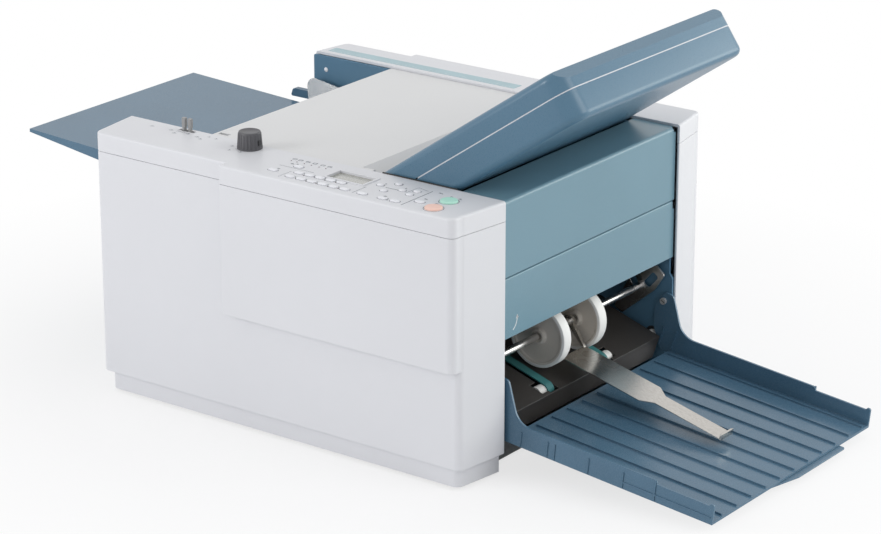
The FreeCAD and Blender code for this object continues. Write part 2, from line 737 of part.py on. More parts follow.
def second_fold_plate():
    """Two flat plates a slot apart, running down towards the feed end, with a sliding stop."""
    y0 = frame_front_y
    y1 = frame_rear_y
    half = lower_plate_depth / 2
    body = box(-lower_plate_length, 0, y0, y1, -half, half)
    gap = lower_slot / 2
    slot = box(-lower_plate_length + 6, 1, y0 + 8, y1 - 8, -gap, gap)
    window = box(lower_stop - 50.0, lower_stop + 60.0, mid_y - 8, mid_y + 8, -half - 1, -1.0)
    save("lower_fold_plate", lower_frame(body.cut(slot).cut(window)))
    bar = box(lower_stop, lower_stop + 8.0, y0 + 10, y1 - 10, -gap + fit_gap, gap - fit_gap)
    handle = box(lower_stop, lower_stop + 8.0, mid_y - 6, mid_y + 6, -half - 9.0, 0)
    save("lower_fold_stop", lower_frame(joined(bar, handle)))


lower_stop = -130.0


# ------------------------------------------------------------------ rollers, gears, belts
def gear(x, z, y0, phase):
    """A spur gear with straight-sided teeth and some backlash."""
    root = gear_pitch / 2 - 1.25 * gear_module
    tip = gear_pitch / 2 + 0.9 * gear_module
    step = 360.0 / gear_teeth
    points = []
    for tooth in range(gear_teeth):
        centre = phase + tooth * step
        for radius, offset in ((root, -0.34), (tip, -0.11), (tip, 0.11), (root, 0.34)):
            points.append(polar(x, z, radius, centre + offset * step))
    return prism_y(points, y0, y0 + gear_width)


def roller_set():
    """The four fold rollers with their end gears, in mesh."""
    half_step = 180.0 / gear_teeth
    phases = [-90.0, 90.0 + half_step, 0.0, 0.0]
    meet_three = -35.0
    steps = round((phases[1] - meet_three) / (2 * half_step))
    lag = phases[1] - meet_three - steps * 2 * half_step
    phases[2] = meet_three + 180.0 + half_step - lag
    meet_four = -105.0
    steps = round((phases[2] - meet_four) / (2 * half_step))
    lag = phases[2] - meet_four - steps * 2 * half_step
    phases[3] = meet_four + 180.0 + half_step - lag
    spots = [roller_one, roller_two, roller_three, roller_four]
    names = ["one", "two", "three", "four"]
    face0 = frame_front_y + 12.0
    face1 = frame_rear_y - 12.0
    for index, (x, z) in enumerate(spots):
        end = gear_y + gear_width
        if index in (0, 3):
            end = belt_two_y + pulley_width
        shaft = rod_y(x, z, shaft_radius, frame_front_out - bush_rim, end)
        skin = tube_y(x, z, roller_radius, shaft_radius, face0, face1)
        save("fold_roller_" + names[index], joined(shaft, skin))
        wheel = gear(x, z, gear_y, phases[index])
        for radius, y0 in cluster_pulleys[index]:
            wheel = wheel.fuse(rod_y(x, z, radius, y0, y0 + pulley_width))
        if cluster_pulleys[index]:
            wheel = wheel.fuse(rod_y(x, z, hub_radius, gear_y, end))
        wheel = wheel.cut(rod_y(x, z, shaft_radius, gear_y - 1, end + 1))
        save("roller_gear_" + names[index], wheel.removeSplitter())


motor_pulley_radius = 9.0
big_pulley_radius = 20.0
small_pulley_radius = 12.0
hub_radius = 8.0
cluster_pulleys = [
    [(small_pulley_radius, belt_two_y)],
    [],
    [],
    [(big_pulley_radius, belt_one_y), (small_pulley_radius, belt_two_y)],
]
motor_radius = 29.0
motor_length = 100.0
motor_shaft_radius = 4.0


def drive_train():
    """The motor, the pulleys and the belts behind the rear frame."""
    x, z = motor
    can = rod_y(x, z, motor_radius, frame_rear_y - motor_length, frame_rear_y)
    cradle = box(x - 20, x + 20, frame_rear_y - motor_length + 10, frame_rear_y - 10, base_top, z - motor_radius + 3)
    bore = rod_y(x, z, motor_shaft_radius + run_gap, frame_rear_y - 60, frame_rear_y + 1)
    save("drive_motor", joined(can, cradle).cut(bore))
    axle = rod_y(x, z, motor_shaft_radius, frame_rear_y - 60, belt_one_y + pulley_width)
    drum = rod_y(x, z, motor_pulley_radius, belt_one_y, belt_one_y + pulley_width)
    save("motor_shaft", joined(axle, drum))
    x4, z4 = roller_four
    loops = [
        belt_loop(x, z, motor_pulley_radius, x4, z4, big_pulley_radius, belt_one_y + 1, belt_one_y + 6, belt_wall),
        belt_loop(x4, z4, small_pulley_radius, drive[0], drive[1], small_pulley_radius, belt_two_y + 1,
                  belt_two_y + 6, belt_wall),
        belt_loop(feed_roller[0], feed_roller[1], small_pulley_radius, roller_one[0], roller_one[1],
                  small_pulley_radius, belt_two_y + 1, belt_two_y + 6, belt_wall),
    ]
    save("drive_belts", loops)


def feed_shafts():
    """The feed roller over its separator, and the two conveyor rollers."""
    x, z = feed_roller
    shaft = rod_y(x, z, shaft_radius, frame_front_out - bush_rim, belt_two_y + pulley_width)
    drum = rod_y(x, z, small_pulley_radius, belt_two_y, belt_two_y + pulley_width)
    save("feed_roller", joined(shaft, drum, rod_y(x, z, feed_roller_radius, mid_y - 22, mid_y + 22)))
    pad_top = z - feed_roller_radius - fit_gap
    pad = box(x - 12, x + 12, mid_y - 15, mid_y + 15, paper_height - 2.0, pad_top)
    save("separator_pad", pad)
    for name, spot, radius, end in (
        ("conveyor_drive_roller", drive, drive_radius, belt_two_y + pulley_width),
        ("conveyor_idler", idler, idler_radius, frame_rear_out + bush_rim),
    ):
        x, z = spot
        axle = rod_y(x, z, shaft_radius, frame_front_out - bush_rim, end)
        drums = []
        for side, y in zip((-1, 1), belt_lines):
            shoulder = idler_shoulder if name == "conveyor_idler" else 0.0
            inner = y - side * belt_width / 2
            outer = y + side * (belt_width / 2 + shoulder)
            drums.append(rod_y(x, z, radius, min(inner, outer), max(inner, outer)))
        if end > belt_two_y:
            drums.append(rod_y(x, z, small_pulley_radius, belt_two_y, belt_two_y + pulley_width))
        save(name, joined(axle, *drums))


belt_lines = (mid_y - belt_offset, mid_y + belt_offset)


# ------------------------------------------------------------------ delivery
def conveyor():
    loops = []
    for y in belt_lines:
        y0 = y - belt_width / 2 + 1
        y1 = y + belt_width / 2 - 1
        loops.append(belt_loop(drive[0], drive[1], drive_radius, idler[0], idler[1], idler_radius, y0, y1, belt_wall))
    save("conveyor_belts", loops)
    top = 2.6
    skin = sheet_wall
    end = deck_reach
    corners = [(-120.0, top), (end, top), (end, top + 30.0), (end - skin, top + 30.0), (end - skin, top + skin),
               (-120.0, top + skin)]
    plate = prism_y([deck_point(a, b) for a, b in corners], frame_front_y, frame_rear_y)
    for y0, y1 in ((frame_front_y - 1, mid_y - deck_half), (mid_y + deck_half, frame_rear_y + 1)):
        plate = plate.cut(prism_y([deck_point(a, b) for a, b in deck_side], y0, y1))
    for side, y in zip((-1, 1), belt_lines):
        slot = [(-119.0, -5.0), (end - skin, -5.0), (end - skin, 40.0), (-119.0, 40.0)]
        half = belt_width / 2 + 1.5
        plate = plate.cut(prism_y([deck_point(a, b) for a, b in slot], y - half, y + half))
        pocket = [(idler_along - idler_radius - 1.5, -5.0), (idler_along + idler_radius + 1.5, -5.0),
                  (idler_along + idler_radius + 1.5, 40.0), (idler_along - idler_radius - 1.5, 40.0)]
        edge = y + side * (half + idler_shoulder)
        plate = plate.cut(prism_y([deck_point(a, b) for a, b in pocket], min(y, edge), max(y, edge)))
    save("delivery_deck", plate)


deck_reach = 50.0
deck_half = inner_width / 2 - 13.0
deck_side = [(-32.0, -5.0), (60.0, -5.0), (60.0, 40.0), (-32.0, 40.0)]
bracket_wall = 2.5


def wheel_brackets():
    """The two hooked plates that the wheel shaft drops into."""
    x, z = wheel_shaft_x, wheel_shaft_height
    outer = [(x - 31.7, z - 30.4), (x - 19.7, z - 36.4), (x + 24.3, z + 0.6), (x + 38.3, z + 21.6),
             (x + 26.3, z + 32.6), (x - 5.7, z + 19.6)]
    plates = []
    for y0 in (frame_front_y, frame_rear_y - bracket_stand - bracket_wall):
        plate = prism_y(outer, y0 if y0 > mid_y else y0 + bracket_stand,
                        (y0 if y0 > mid_y else y0 + bracket_stand) + bracket_wall, rounded(6, 4.0))
        y_low = y0 - 5
        y_high = y0 + bracket_stand + bracket_wall + 5
        seat = rod_y(x, z, wheel_shaft_radius + run_gap, y_low, y_high)
        way = tilted(box(x, x + 60, y_low, y_high, z - wheel_shaft_radius - run_gap,
                         z + wheel_shaft_radius + run_gap), 118.0, x, z)
        second = prism_y([(x + 8.3, z + 7.6), (x + 16.3, z + 1.6), (x + 30.3, z + 17.6), (x + 22.3, z + 23.6)], y_low, y_high,
                         rounded(4, 3.5))
        plate = plate.cut(seat).cut(way).cut(second)
        for px, pz in ((x - 19.7, z - 26.4), (x - 13.7, z + 9.6)):
            pad0 = frame_front_y if y0 < mid_y else y0 + bracket_wall
            plate = plate.fuse(rod_y(px, pz, 4.0, pad0, pad0 + bracket_stand))
        plates.append(plate)
    save("wheel_brackets", plates)


bracket_stand = 5.2


def stacker_wheels():
    x, z = wheel_shaft_x, wheel_shaft_height
    inner = bracket_stand + bracket_wall
    shaft = rod_y(x, z, wheel_shaft_radius, frame_front_y + inner - 4.5, frame_rear_y - inner + 4.5)
    save("wheel_shaft", shaft)
    discs = []
    tyres = []
    for y in (mid_y - wheel_offset, mid_y + wheel_offset):
        y0 = y - wheel_width / 2
        y1 = y + wheel_width / 2
        rim = wheel_radius - tyre_depth
        disc = rod_y(x, z, rim, y0 + 1.0, y1 - 1.0)
        for a, b in ((y0, y0 + 4.5), (y1 - 4.5, y1)):
            disc = disc.cut(tube_y(x, z, rim - 3.0, 11.0, a, b))
        disc = disc.fuse(rod_y(x, z, 10.0, y0, y1)).cut(rod_y(x, z, wheel_shaft_radius, y0 - 1, y1 + 1))
        discs.append(disc.removeSplitter())
        tyres.append(tube_y(x, z, wheel_radius, rim, y0, y1))
    save("wheel_discs", discs)
    save("wheel_tyres", tyres)


def press_leaf():
    """The stainless leaf that lies on the stack, looped round the wheel shaft."""
    x, z = wheel_shaft_x, wheel_shaft_height
    y0 = mid_y - leaf_width / 2
    y1 = mid_y + leaf_width / 2
    start = (x + 20.3, z - 27.8)
    turn = math.radians(leaf_slope)
    reach = 213.0
    end = (start[0] + reach * math.cos(turn), start[1] - reach * math.sin(turn))
    up = (math.sin(turn) * leaf_wall, math.cos(turn) * leaf_wall)
    lip = (end[0] + 1.5, end[1] + 7.0)
    strip = [start, end, lip, (lip[0] - leaf_wall, lip[1]), (end[0] - leaf_wall, end[1] + up[1] + 0.3),
             (start[0] + up[0], start[1] + up[1])]
    blade = prism_y(strip, y0, y1)
    neck = 118.0
    taper = 14.0
    narrow = (leaf_width - leaf_tip_width) / 2
    for side in (-1, 1):
        edge = y0 if side < 0 else y1
        cut = [(start[0] + neck - taper, edge - side * 0.01), (start[0] + neck, edge - side * narrow),
               (end[0] + 20, edge - side * narrow), (end[0] + 20, edge + side * 5),
               (start[0] + neck - taper, edge + side * 5)]
        blade = blade.cut(prism_z(cut, -50, 150))
    loops = []
    for edge in (y0, y1 - 4.0):
        eye = rod_y(x, z, leaf_loop_radius, edge, edge + 4.0)
        arm = prism_y([(x - 3.5, z), (x + 5.0, z), (start[0] + 3.0, start[1] - 0.4), (start[0] + 0.3, start[1] + 1.2),
                         (start[0] - 3.0, start[1] + 2.2)], edge, edge + 4.0)
        loops.append(eye.fuse(arm))
    leaf = joined(blade, *loops).cut(rod_y(x, z, wheel_shaft_radius + run_gap, y0 - 1, y1 + 1))
    save("press_leaf", leaf)


# ------------------------------------------------------------------ delivery tray
tray_y0 = mid_y - tray_width / 2
tray_y1 = mid_y + tray_width / 2
tray_root_x = exit_x + 6.0


def tray_frame(shape):
    """Move a shape drawn with its floor level, X outwards from the tray root, to the sloping tray."""
    moved = shape.copy()
    moved.translate(Vec(tray_root_x, 0, tray_root_height))
    return tilted(moved, -tray_slope, tray_root_x, tray_root_height)


def delivery_tray():
    rise = tray_pivot_height - tray_root_height
    back = tray_pivot_x - tray_root_x
    step_x = tray_length * 0.732
    low_rim = tray_rim - tray_rim_step
    tip_rise = low_rim + 2.5
    wall_points = [(-12.0, 0), (tray_length, 0), (tray_length, tip_rise), (tray_length - 4.5, tip_rise),
                   (tray_length - 6.0, low_rim), (step_x, low_rim), (step_x, tray_rim), (15.0, tray_rim),
                   (back + 5.0, rise + 8.5), (back - 7.0, rise + 10.5), (back - 18.0, rise - 8.0), (-25.5, 28.0),
                   (-17.0, 10.0)]
    radii = [4.0, 3.0, 2.0, 1.0, 1.0, 0.5, 4.0, 24.0, 6.0, 7.0, 8.0, 8.0, 4.0]

    def walls(y0):
        return prism_y(wall_points, y0, y0 + tray_wall, radii)

    floor = box(0, tray_length, tray_y0, tray_y1, 0, tray_floor_wall)
    tray = joined(floor, walls(tray_y0), walls(tray_y1 - tray_wall))
    pitch = (tray_width - 2 * tray_wall) / tray_rib_count
    middle = (tray_rib_count - 1) / 2
    for index in range(tray_rib_count):
        y = mid_y + tray_rib_shift + pitch * (index - middle)
        half = tray_rib_width / 2
        tray = tray.fuse(box(6.0, tray_length - 2.0, y - half, y + half, 1.0, tray_floor_wall + tray_rib_height))
    for x, top in zip(wall_rib_spots, wall_rib_tops):
        for y in (tray_y0 - wall_rib_height, tray_y1 - 1.0):
            tray = tray.fuse(box(x, x + wall_rib_width, y, y + wall_rib_height + 1.0, 1.0, top))
    for y in (tray_y0 - wall_rib_height, tray_y1 - 1.0):
        tray = tray.fuse(box(wall_rib_spots[-2], tray_length - 3.0, y, y + wall_rib_height + 1.0, 7.4, 8.8))
    for x in gusset_spots:
        for y0, y1 in ((tray_y0 + 1.0, tray_y0 + tray_wall + 1.6), (tray_y1 - tray_wall - 1.6, tray_y1 - 1.0)):
            gusset = prism_y([(x, 6.0), (x + 1.8, 6.0), (x + 6.8, 31.0), (x + 5.0, 31.0)], y0, y1)
            tray = tray.fuse(gusset)
    for edge, side in ((extension_y[0] - fit_gap, -1), (extension_y[1] + fit_gap, 1)):
        low = -extension_wall - 2 * fit_gap
        out = edge + side * 3.0
        lip = edge - side * 3.0
        tray = tray.fuse(box(60.0, tray_length - 6.0, min(edge, out), max(edge, out), low - 1.5, 0.5))
        tray = tray.fuse(box(60.0, tray_length - 6.0, min(lip, out), max(lip, out), low - 1.5, low))
    tray = tray_frame(tray.removeSplitter())
    hole = rod_y(tray_pivot_x, tray_pivot_height, tray_pin_radius + run_gap, tray_y0 - 1, tray_y1 + 1)
    save("delivery_tray", tray.cut(hole))

    pins = []
    x, z = tray_pivot_x, tray_pivot_height
    for out, frame, ear, head in (
        (frame_front_out, frame_front_y, tray_y0, tray_y0 + tray_wall),
        (frame_rear_out, frame_rear_y, tray_y1, tray_y1 - tray_wall),
    ):
        way = 1 if head > out else -1
        stem = rod_y(x, z, tray_pin_radius, min(out, head + way), max(out, head + way))
        collar = rod_y(x, z, 7.0, min(frame, ear - way * fit_gap), max(frame, ear - way * fit_gap))
        cap0 = head + way * fit_gap
        cap = rod_y(x, z, 5.0, min(cap0, cap0 + way * 2.5), max(cap0, cap0 + way * 2.5))
        pins.append(joined(stem, collar, cap))
    save("tray_pivots", pins)

    end = tray_length + 7.0
    start = end - extension_length
    y0, y1 = extension_y
    plan = [(start, y0), (end - 22.0, y0), (end - 9.0, y0 + 26.0), (end, y0 + 72.0), (end, y1), (start, y1)]
    sheet = prism_z(plan, -extension_wall - fit_gap, -fit_gap, [3.0, 8.0, 8.0, 8.0, 3.0, 3.0])
    save("tray_extension", tray_frame(sheet))


extension_y = (tray_y0 + 98.0, tray_y1 - 65.0)
wall_rib_spots = [20.0, 55.0, 64.5, 109.0, 154.0, 195.0]
wall_rib_tops = [tray_rim - 7.0] + [tray_rim - 6.0] * 4 + [tray_rim]
gusset_spots = [-16.0, 1.5]


# ------------------------------------------------------------------ feed end
def feed_table():
    """The fixed bed that the stack slides over, with room for the guides and the separator."""
    skin = sheet_wall
    top = paper_height
    x0 = feed_x + 3.0
    x1 = fold_roller_x - 34.0
    bed = box(x0, x1, frame_front_y, frame_rear_y, top - skin, top)
    apron = box(x1 - skin, x1, frame_front_y, frame_rear_y, top - 14.0, top - skin)
    sep = box(feed_roller_x - 12.3, feed_roller_x + 12.3, mid_y - 15.3, mid_y + 15.3, top - skin - 1, top + 1)
    bed = bed.fuse(apron).cut(sep)
    for y0, y1 in guide_slots:
        bed = bed.cut(box(guide_foot_x - 5.3, guide_foot_x + 5.3, y0, y1, top - skin - 1, top + 1))
    holder = box(feed_roller_x - 16, feed_roller_x + 16, mid_y - 19, mid_y + 19, top - 12.0, top - skin)
    save("feed_table", bed.fuse(holder).removeSplitter())


guide_foot_x = feed_x + 68.0
guide_rest = inner_width / 2 - 15.5
grip_width = 8.0
guide_travel = 100.0
guide_slots = (
    (mid_y - guide_rest - 6.0, mid_y - guide_rest + guide_travel + 6.0),
    (mid_y + guide_rest - guide_travel - 6.0, mid_y + guide_rest + 6.0),
)


def side_guides():
    """The two sheet guides, each on a foot through its slot in the bed."""
    x0 = feed_x - 12.3
    low = paper_height + fit_gap
    for name, side in (("front_side_guide", -1), ("rear_side_guide", 1)):
        y = mid_y + side * guide_rest
        fence = prism_y([(x0 + 3.0, low), (x0 + guide_length, low), (x0 + guide_length, low + guide_end_height),
                         (x0, low + guide_height)], y - guide_wall / 2, y + guide_wall / 2, [1.0, 1.0, 1.0, 12.0])
        rest = box(guide_foot_x - 12, guide_foot_x + 12, y - 4.0, y + 4.0, low, low + 3.0)
        foot = box(guide_foot_x - 5, guide_foot_x + 5, y - 4.0, y + 4.0, paper_height - sheet_wall - 3.0, low + 1)
        keeper = box(guide_foot_x - 9, guide_foot_x + 9, y - 4.0, y + 4.0, paper_height - sheet_wall - 5.0,
                     paper_height - sheet_wall - fit_gap)
        grip_y = sorted((y + side * guide_wall / 2, y + side * (guide_wall / 2 + grip_width)))
        grip = prism_y([(x0 - 26.4, low + 1.0), (x0 + 10.0, low + 1.0), (x0 + 10.0, low + 11.2),
                        (x0 - 23.0, low + 11.2)], grip_y[0], grip_y[1], [2.0, 0, 0, 4.0])
        save(name, joined(fence, rest, foot, keeper, grip))


def feed_tray():
    """The folding feed tray: a flat top with side flanges that deepen towards its two hinge studs."""
    x, z = feed_hinge
    root = x + 4.5
    tip = x - feed_tray_length - 8.0
    top = paper_height - 3.0
    side = [(root, z - 5.0), (root, z + 4.0), (x - 8.0, top), (tip, top), (tip, top - 4.0), (x - 12.0, z - 14.0)]
    radii = [3.0, 2.0, 3.0, 1.5, 1.5, 6.0]
    flat = box(tip, x - 7.0, feed_y0, feed_y1, top - feed_tray_wall, top)
    left = prism_y(side, feed_y0, feed_y0 + feed_tray_wall, radii)
    right = prism_y(side, feed_y1 - feed_tray_wall, feed_y1, radii)
    lip = box(tip, tip + feed_tray_wall, feed_y0, feed_y1, top - 4.0, top)
    tray = tilted(joined(flat, left, right, lip), -feed_tray_rise, x, z)
    hole = rod_y(x, z, feed_pin_radius + run_gap, feed_y0 - 1, feed_y1 + 1)
    save("feed_tray", tray.cut(hole))


lever_spots = (feed_x + 79.5, feed_x + 88.2)


lever_y1 = frame_front_out - 4.7
lever_y0 = lever_y1 - 4.2
lever_slot = 7.2


def feed_levers():
    """Two small ribbed levers on studs of the front frame, reaching up through the panel."""
    z = lever_height
    top = body_height + 15.2
    for name, x in (("feed_lever_left", lever_spots[0]), ("feed_lever_right", lever_spots[1])):
        stem = box(x - 1.5, x + 1.5, lever_y0, lever_y1, z, top)
        pad = box(x - 2.3, x + 2.3, lever_y0, lever_y1, body_height + 4.0, top)
        eye = rod_y(x, z, lever_pin_radius + 1.4, lever_y0, lever_y1)
        shape = joined(stem, pad, eye)
        save(name, shape.cut(rod_y(x, z, lever_pin_radius + run_gap, lever_y0 - 1, lever_y1 + 1)))


# ------------------------------------------------------------------ electrical pieces
def electrics():
    board_y = frame_front_out - 10.0
    board = box(feed_x + 58.0, feed_x + 198.0, board_y - 1.6, board_y, 70.0, 190.0)
    for x in (feed_x + 64.0, feed_x + 192.0):
        for z in (76.0, 184.0):
            board = board.fuse(rod_y(x, z, 3.0, board_y - 0.5, frame_front_out))
    chips = ((feed_x + 108.0, 100.0, 40.0, 40.0, 16.0), (feed_x + 163.0, 150.0, 24.0, 30.0, 10.0))
    for x, z, wide, tall, deep in chips:
        board = board.fuse(box(x, x + wide, board_y - 1.6 - deep, board_y - 1.0, z, z + tall))
    save("control_board", board.removeSplitter())

    face = rear_wall_y
    flange = box(inlet_x - 25.5, switch_x + 12.5, face, face + 1.6, inlet_z - 15.5, inlet_z + 15.5)
    shell = box(inlet_x - 24.0, switch_x + 11.0, face - 26.0, face + 1.6, inlet_z - 14.0, inlet_z + 14.0)
    hollow = box(inlet_x - 12.5, inlet_x + 12.5, face - 16.0, face + 2.0, inlet_z - 8.5, inlet_z + 8.5)
    inlet = flange.fuse(shell).cut(hollow)
    for dx in (-7.0, 0.0, 7.0):
        pin = box(inlet_x + dx - 1.0, inlet_x + dx + 1.0, face - 16.5, face - 3.0, inlet_z - 2.0, inlet_z + 2.0)
        inlet = inlet.fuse(pin)
    well = box(switch_x - 8.0, switch_x + 8.0, face - 12.0, face + 2.0, inlet_z - 12.0, inlet_z + 12.0)
    pivot = Part.makeCylinder(1.5 + run_gap, 20.0, Vec(switch_x - 10.0, face - 5.0, inlet_z), Vec(1, 0, 0))
    save("power_inlet", inlet.cut(well).cut(pivot).removeSplitter())
    rocker = box(switch_x - 7.5, switch_x + 7.5, face - 5.5, face + 2.6, inlet_z - 10.5, inlet_z + 10.5)
    rocker = rocker.fuse(Part.makeCylinder(5.0, 15.0, Vec(switch_x - 7.5, face - 5.0, inlet_z), Vec(1, 0, 0)))
    axle = Part.makeCylinder(1.5, 19.6, Vec(switch_x - 9.8, face - 5.0, inlet_z), Vec(1, 0, 0))
    rocker = rocker.fuse(axle).removeSplitter()
    rocker.rotate(Vec(switch_x, face - 5.0, inlet_z), Vec(1, 0, 0), rocker_tilt)
    save("power_rocker", rocker)


rocker_tilt = 7.0


def build():
    casing()
    control_panel()
    setting_knob()
    rear_top()
    chassis()
    end_covers()
    top_lid()
    exit_flap()
    first_fold_plate()
    second_fold_plate()
    roller_set()
    drive_train()
    feed_shafts()
    conveyor()
    wheel_brackets()
    stacker_wheels()
    press_leaf()
    delivery_tray()
    feed_table()
    side_guides()
    feed_tray()
    feed_levers()
    electrics()


build()
os.makedirs("parts", exist_ok=True)
for name, shape in solids.items():
    shape.exportStep("parts/" + name + ".step")
    print(name, len(shape.Solids), shape.isValid(), round(shape.Volume / 1000, 1))
print(len(solids), "nodes")
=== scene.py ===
import bpy
import bmesh
import json
import math
from mathutils import Matrix, Vector


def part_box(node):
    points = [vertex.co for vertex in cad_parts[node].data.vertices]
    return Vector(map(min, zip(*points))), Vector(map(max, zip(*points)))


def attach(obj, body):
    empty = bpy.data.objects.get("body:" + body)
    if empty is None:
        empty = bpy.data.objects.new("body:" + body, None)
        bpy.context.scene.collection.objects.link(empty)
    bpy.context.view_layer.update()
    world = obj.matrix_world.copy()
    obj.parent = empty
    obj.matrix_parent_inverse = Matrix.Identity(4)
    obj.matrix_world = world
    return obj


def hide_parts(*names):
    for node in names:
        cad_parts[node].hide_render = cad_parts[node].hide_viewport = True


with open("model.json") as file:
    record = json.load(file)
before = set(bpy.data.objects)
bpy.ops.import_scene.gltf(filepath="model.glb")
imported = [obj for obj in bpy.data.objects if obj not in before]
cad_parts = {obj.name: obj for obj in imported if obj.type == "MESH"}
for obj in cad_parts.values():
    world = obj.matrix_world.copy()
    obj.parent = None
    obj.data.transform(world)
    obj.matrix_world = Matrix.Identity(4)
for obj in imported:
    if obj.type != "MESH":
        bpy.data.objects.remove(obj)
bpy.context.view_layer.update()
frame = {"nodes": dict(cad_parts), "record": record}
nodes = frame["nodes"]
mm = 0.001  # lengths are in millimetres, apart from those of the finishes and the studio
xAxis = Vector((1, 0, 0))
yAxis = Vector((0, 1, 0))
zAxis = Vector((0, 0, 1))

placing = {  # places that several pieces share
    "capTop": 319.0,
    "middleY": 11.0,
    "plateStart": (100.0, 319.0),
    "plateAngle": 34.5,
    "wheelShaft": (219.7, 114.4),
    "leverX": {"left": -178.5, "right": -169.8},
}


def newMaterial(name):
    material = bpy.data.materials.new(name)
    material.use_nodes = True
    tree = material.node_tree
    tree.nodes.clear()
    output = tree.nodes.new("ShaderNodeOutputMaterial")
    shader = tree.nodes.new("ShaderNodeBsdfPrincipled")
    tree.links.new(shader.outputs["BSDF"], output.inputs["Surface"])
    return material, tree, shader


def objectCoords(tree, scale=(1, 1, 1)):
    coords = tree.nodes.new("ShaderNodeTexCoord")
    mapping = tree.nodes.new("ShaderNodeMapping")
    mapping.inputs["Scale"].default_value = scale
    tree.links.new(coords.outputs["Object"], mapping.inputs["Vector"])
    return mapping.outputs["Vector"]


def noise(tree, vector, scale, detail=3.0, roughness=0.5):
    texture = tree.nodes.new("ShaderNodeTexNoise")
    texture.inputs["Scale"].default_value = scale
    texture.inputs["Detail"].default_value = detail
    texture.inputs["Roughness"].default_value = roughness
    tree.links.new(vector, texture.inputs["Vector"])
    return texture.outputs["Fac"]


def ramp(tree, value, low, high, lowAt=0.3, highAt=0.7):
    node = tree.nodes.new("ShaderNodeValToRGB")
    node.color_ramp.elements[0].position = lowAt
    node.color_ramp.elements[1].position = highAt
    node.color_ramp.elements[0].color = (*low, 1)
    node.color_ramp.elements[1].color = (*high, 1)
    tree.links.new(value, node.inputs["Fac"])
    return node.outputs["Color"]


def stretch(tree, value, low, high, fromLow=0.3, fromHigh=0.7):
    node = tree.nodes.new("ShaderNodeMapRange")
    node.inputs["From Min"].default_value = fromLow
    node.inputs["From Max"].default_value = fromHigh
    node.inputs["To Min"].default_value = low
    node.inputs["To Max"].default_value = high
    tree.links.new(value, node.inputs["Value"])
    return node.outputs["Result"]


def bump(tree, shader, height, strength, distance):
    node = tree.nodes.new("ShaderNodeBump")
    node.inputs["Strength"].default_value = strength
    node.inputs["Distance"].default_value = distance
    tree.links.new(height, node.inputs["Height"])
    tree.links.new(node.outputs["Normal"], shader.inputs["Normal"])


def shade(color, amount):
    return tuple(max(0.0, min(1.0, channel * amount)) for channel in color)


def coatedFinish(name, color, rough, grain, grainDepth, blotch, vary, metallic=0.0, coat=0.0):
    material, tree, shader = newMaterial(name)
    vector = objectCoords(tree)
    slow = noise(tree, vector, blotch, detail=4.0, roughness=0.6)
    fine = noise(tree, vector, grain, detail=2.0, roughness=0.55)
    tone = ramp(tree, slow, shade(color, 1 - vary), shade(color, 1 + vary))
    tree.links.new(tone, shader.inputs["Base Color"])
    tree.links.new(stretch(tree, fine, rough - 0.05, rough + 0.06), shader.inputs["Roughness"])
    shader.inputs["Metallic"].default_value = metallic
    shader.inputs["Coat Weight"].default_value = coat
    bump(tree, shader, fine, strength=0.35, distance=grainDepth)
    return material


def brushedFinish(name, color, rough, along, scale, vary=0.12, depth=0.00002):
    material, tree, shader = newMaterial(name)
    lines = noise(tree, objectCoords(tree, along), scale, detail=4.0, roughness=0.7)
    slow = noise(tree, objectCoords(tree), 14.0)
    tone = ramp(tree, lines, shade(color, 1 - vary), shade(color, 1 + vary))
    tree.links.new(tone, shader.inputs["Base Color"])
    tree.links.new(stretch(tree, slow, rough - 0.05, rough + 0.08), shader.inputs["Roughness"])
    shader.inputs["Metallic"].default_value = 1.0
    bump(tree, shader, lines, strength=0.3, distance=depth)
    return material


def platedFinish(name, color, rough, cell=160.0, vary=0.1, grain=500.0, depth=0.00003):
    material, tree, shader = newMaterial(name)
    vector = objectCoords(tree)
    cells = tree.nodes.new("ShaderNodeTexVoronoi")
    cells.inputs["Scale"].default_value = cell
    tree.links.new(vector, cells.inputs["Vector"])
    value = cells.outputs["Distance"]
    tone = ramp(tree, value, shade(color, 1 - vary), shade(color, 1 + vary), 0.1, 0.8)
    tree.links.new(tone, shader.inputs["Base Color"])
    tree.links.new(stretch(tree, value, rough - 0.06, rough + 0.08, 0.1, 0.8), shader.inputs["Roughness"])
    shader.inputs["Metallic"].default_value = 1.0
    bump(tree, shader, noise(tree, vector, grain), strength=0.15, distance=depth)
    return material


def boardFinish(name, color, pads=1.5, gaps=2.2):
    material, tree, shader = newMaterial(name)
    vector = objectCoords(tree)
    tracks = tree.nodes.new("ShaderNodeTexBrick")
    tracks.inputs["Scale"].default_value = 90.0
    tracks.inputs["Color1"].default_value = (*color, 1)
    tracks.inputs["Color2"].default_value = (*shade(color, pads), 1)
    tracks.inputs["Mortar"].default_value = (*shade(color, gaps), 1)
    tracks.inputs["Mortar Size"].default_value = 0.03
    tree.links.new(vector, tracks.inputs["Vector"])
    tree.links.new(tracks.outputs["Color"], shader.inputs["Base Color"])
    shader.inputs["Roughness"].default_value = 0.4
    bump(tree, shader, tracks.outputs["Fac"], strength=0.3, distance=0.00005)
    return material


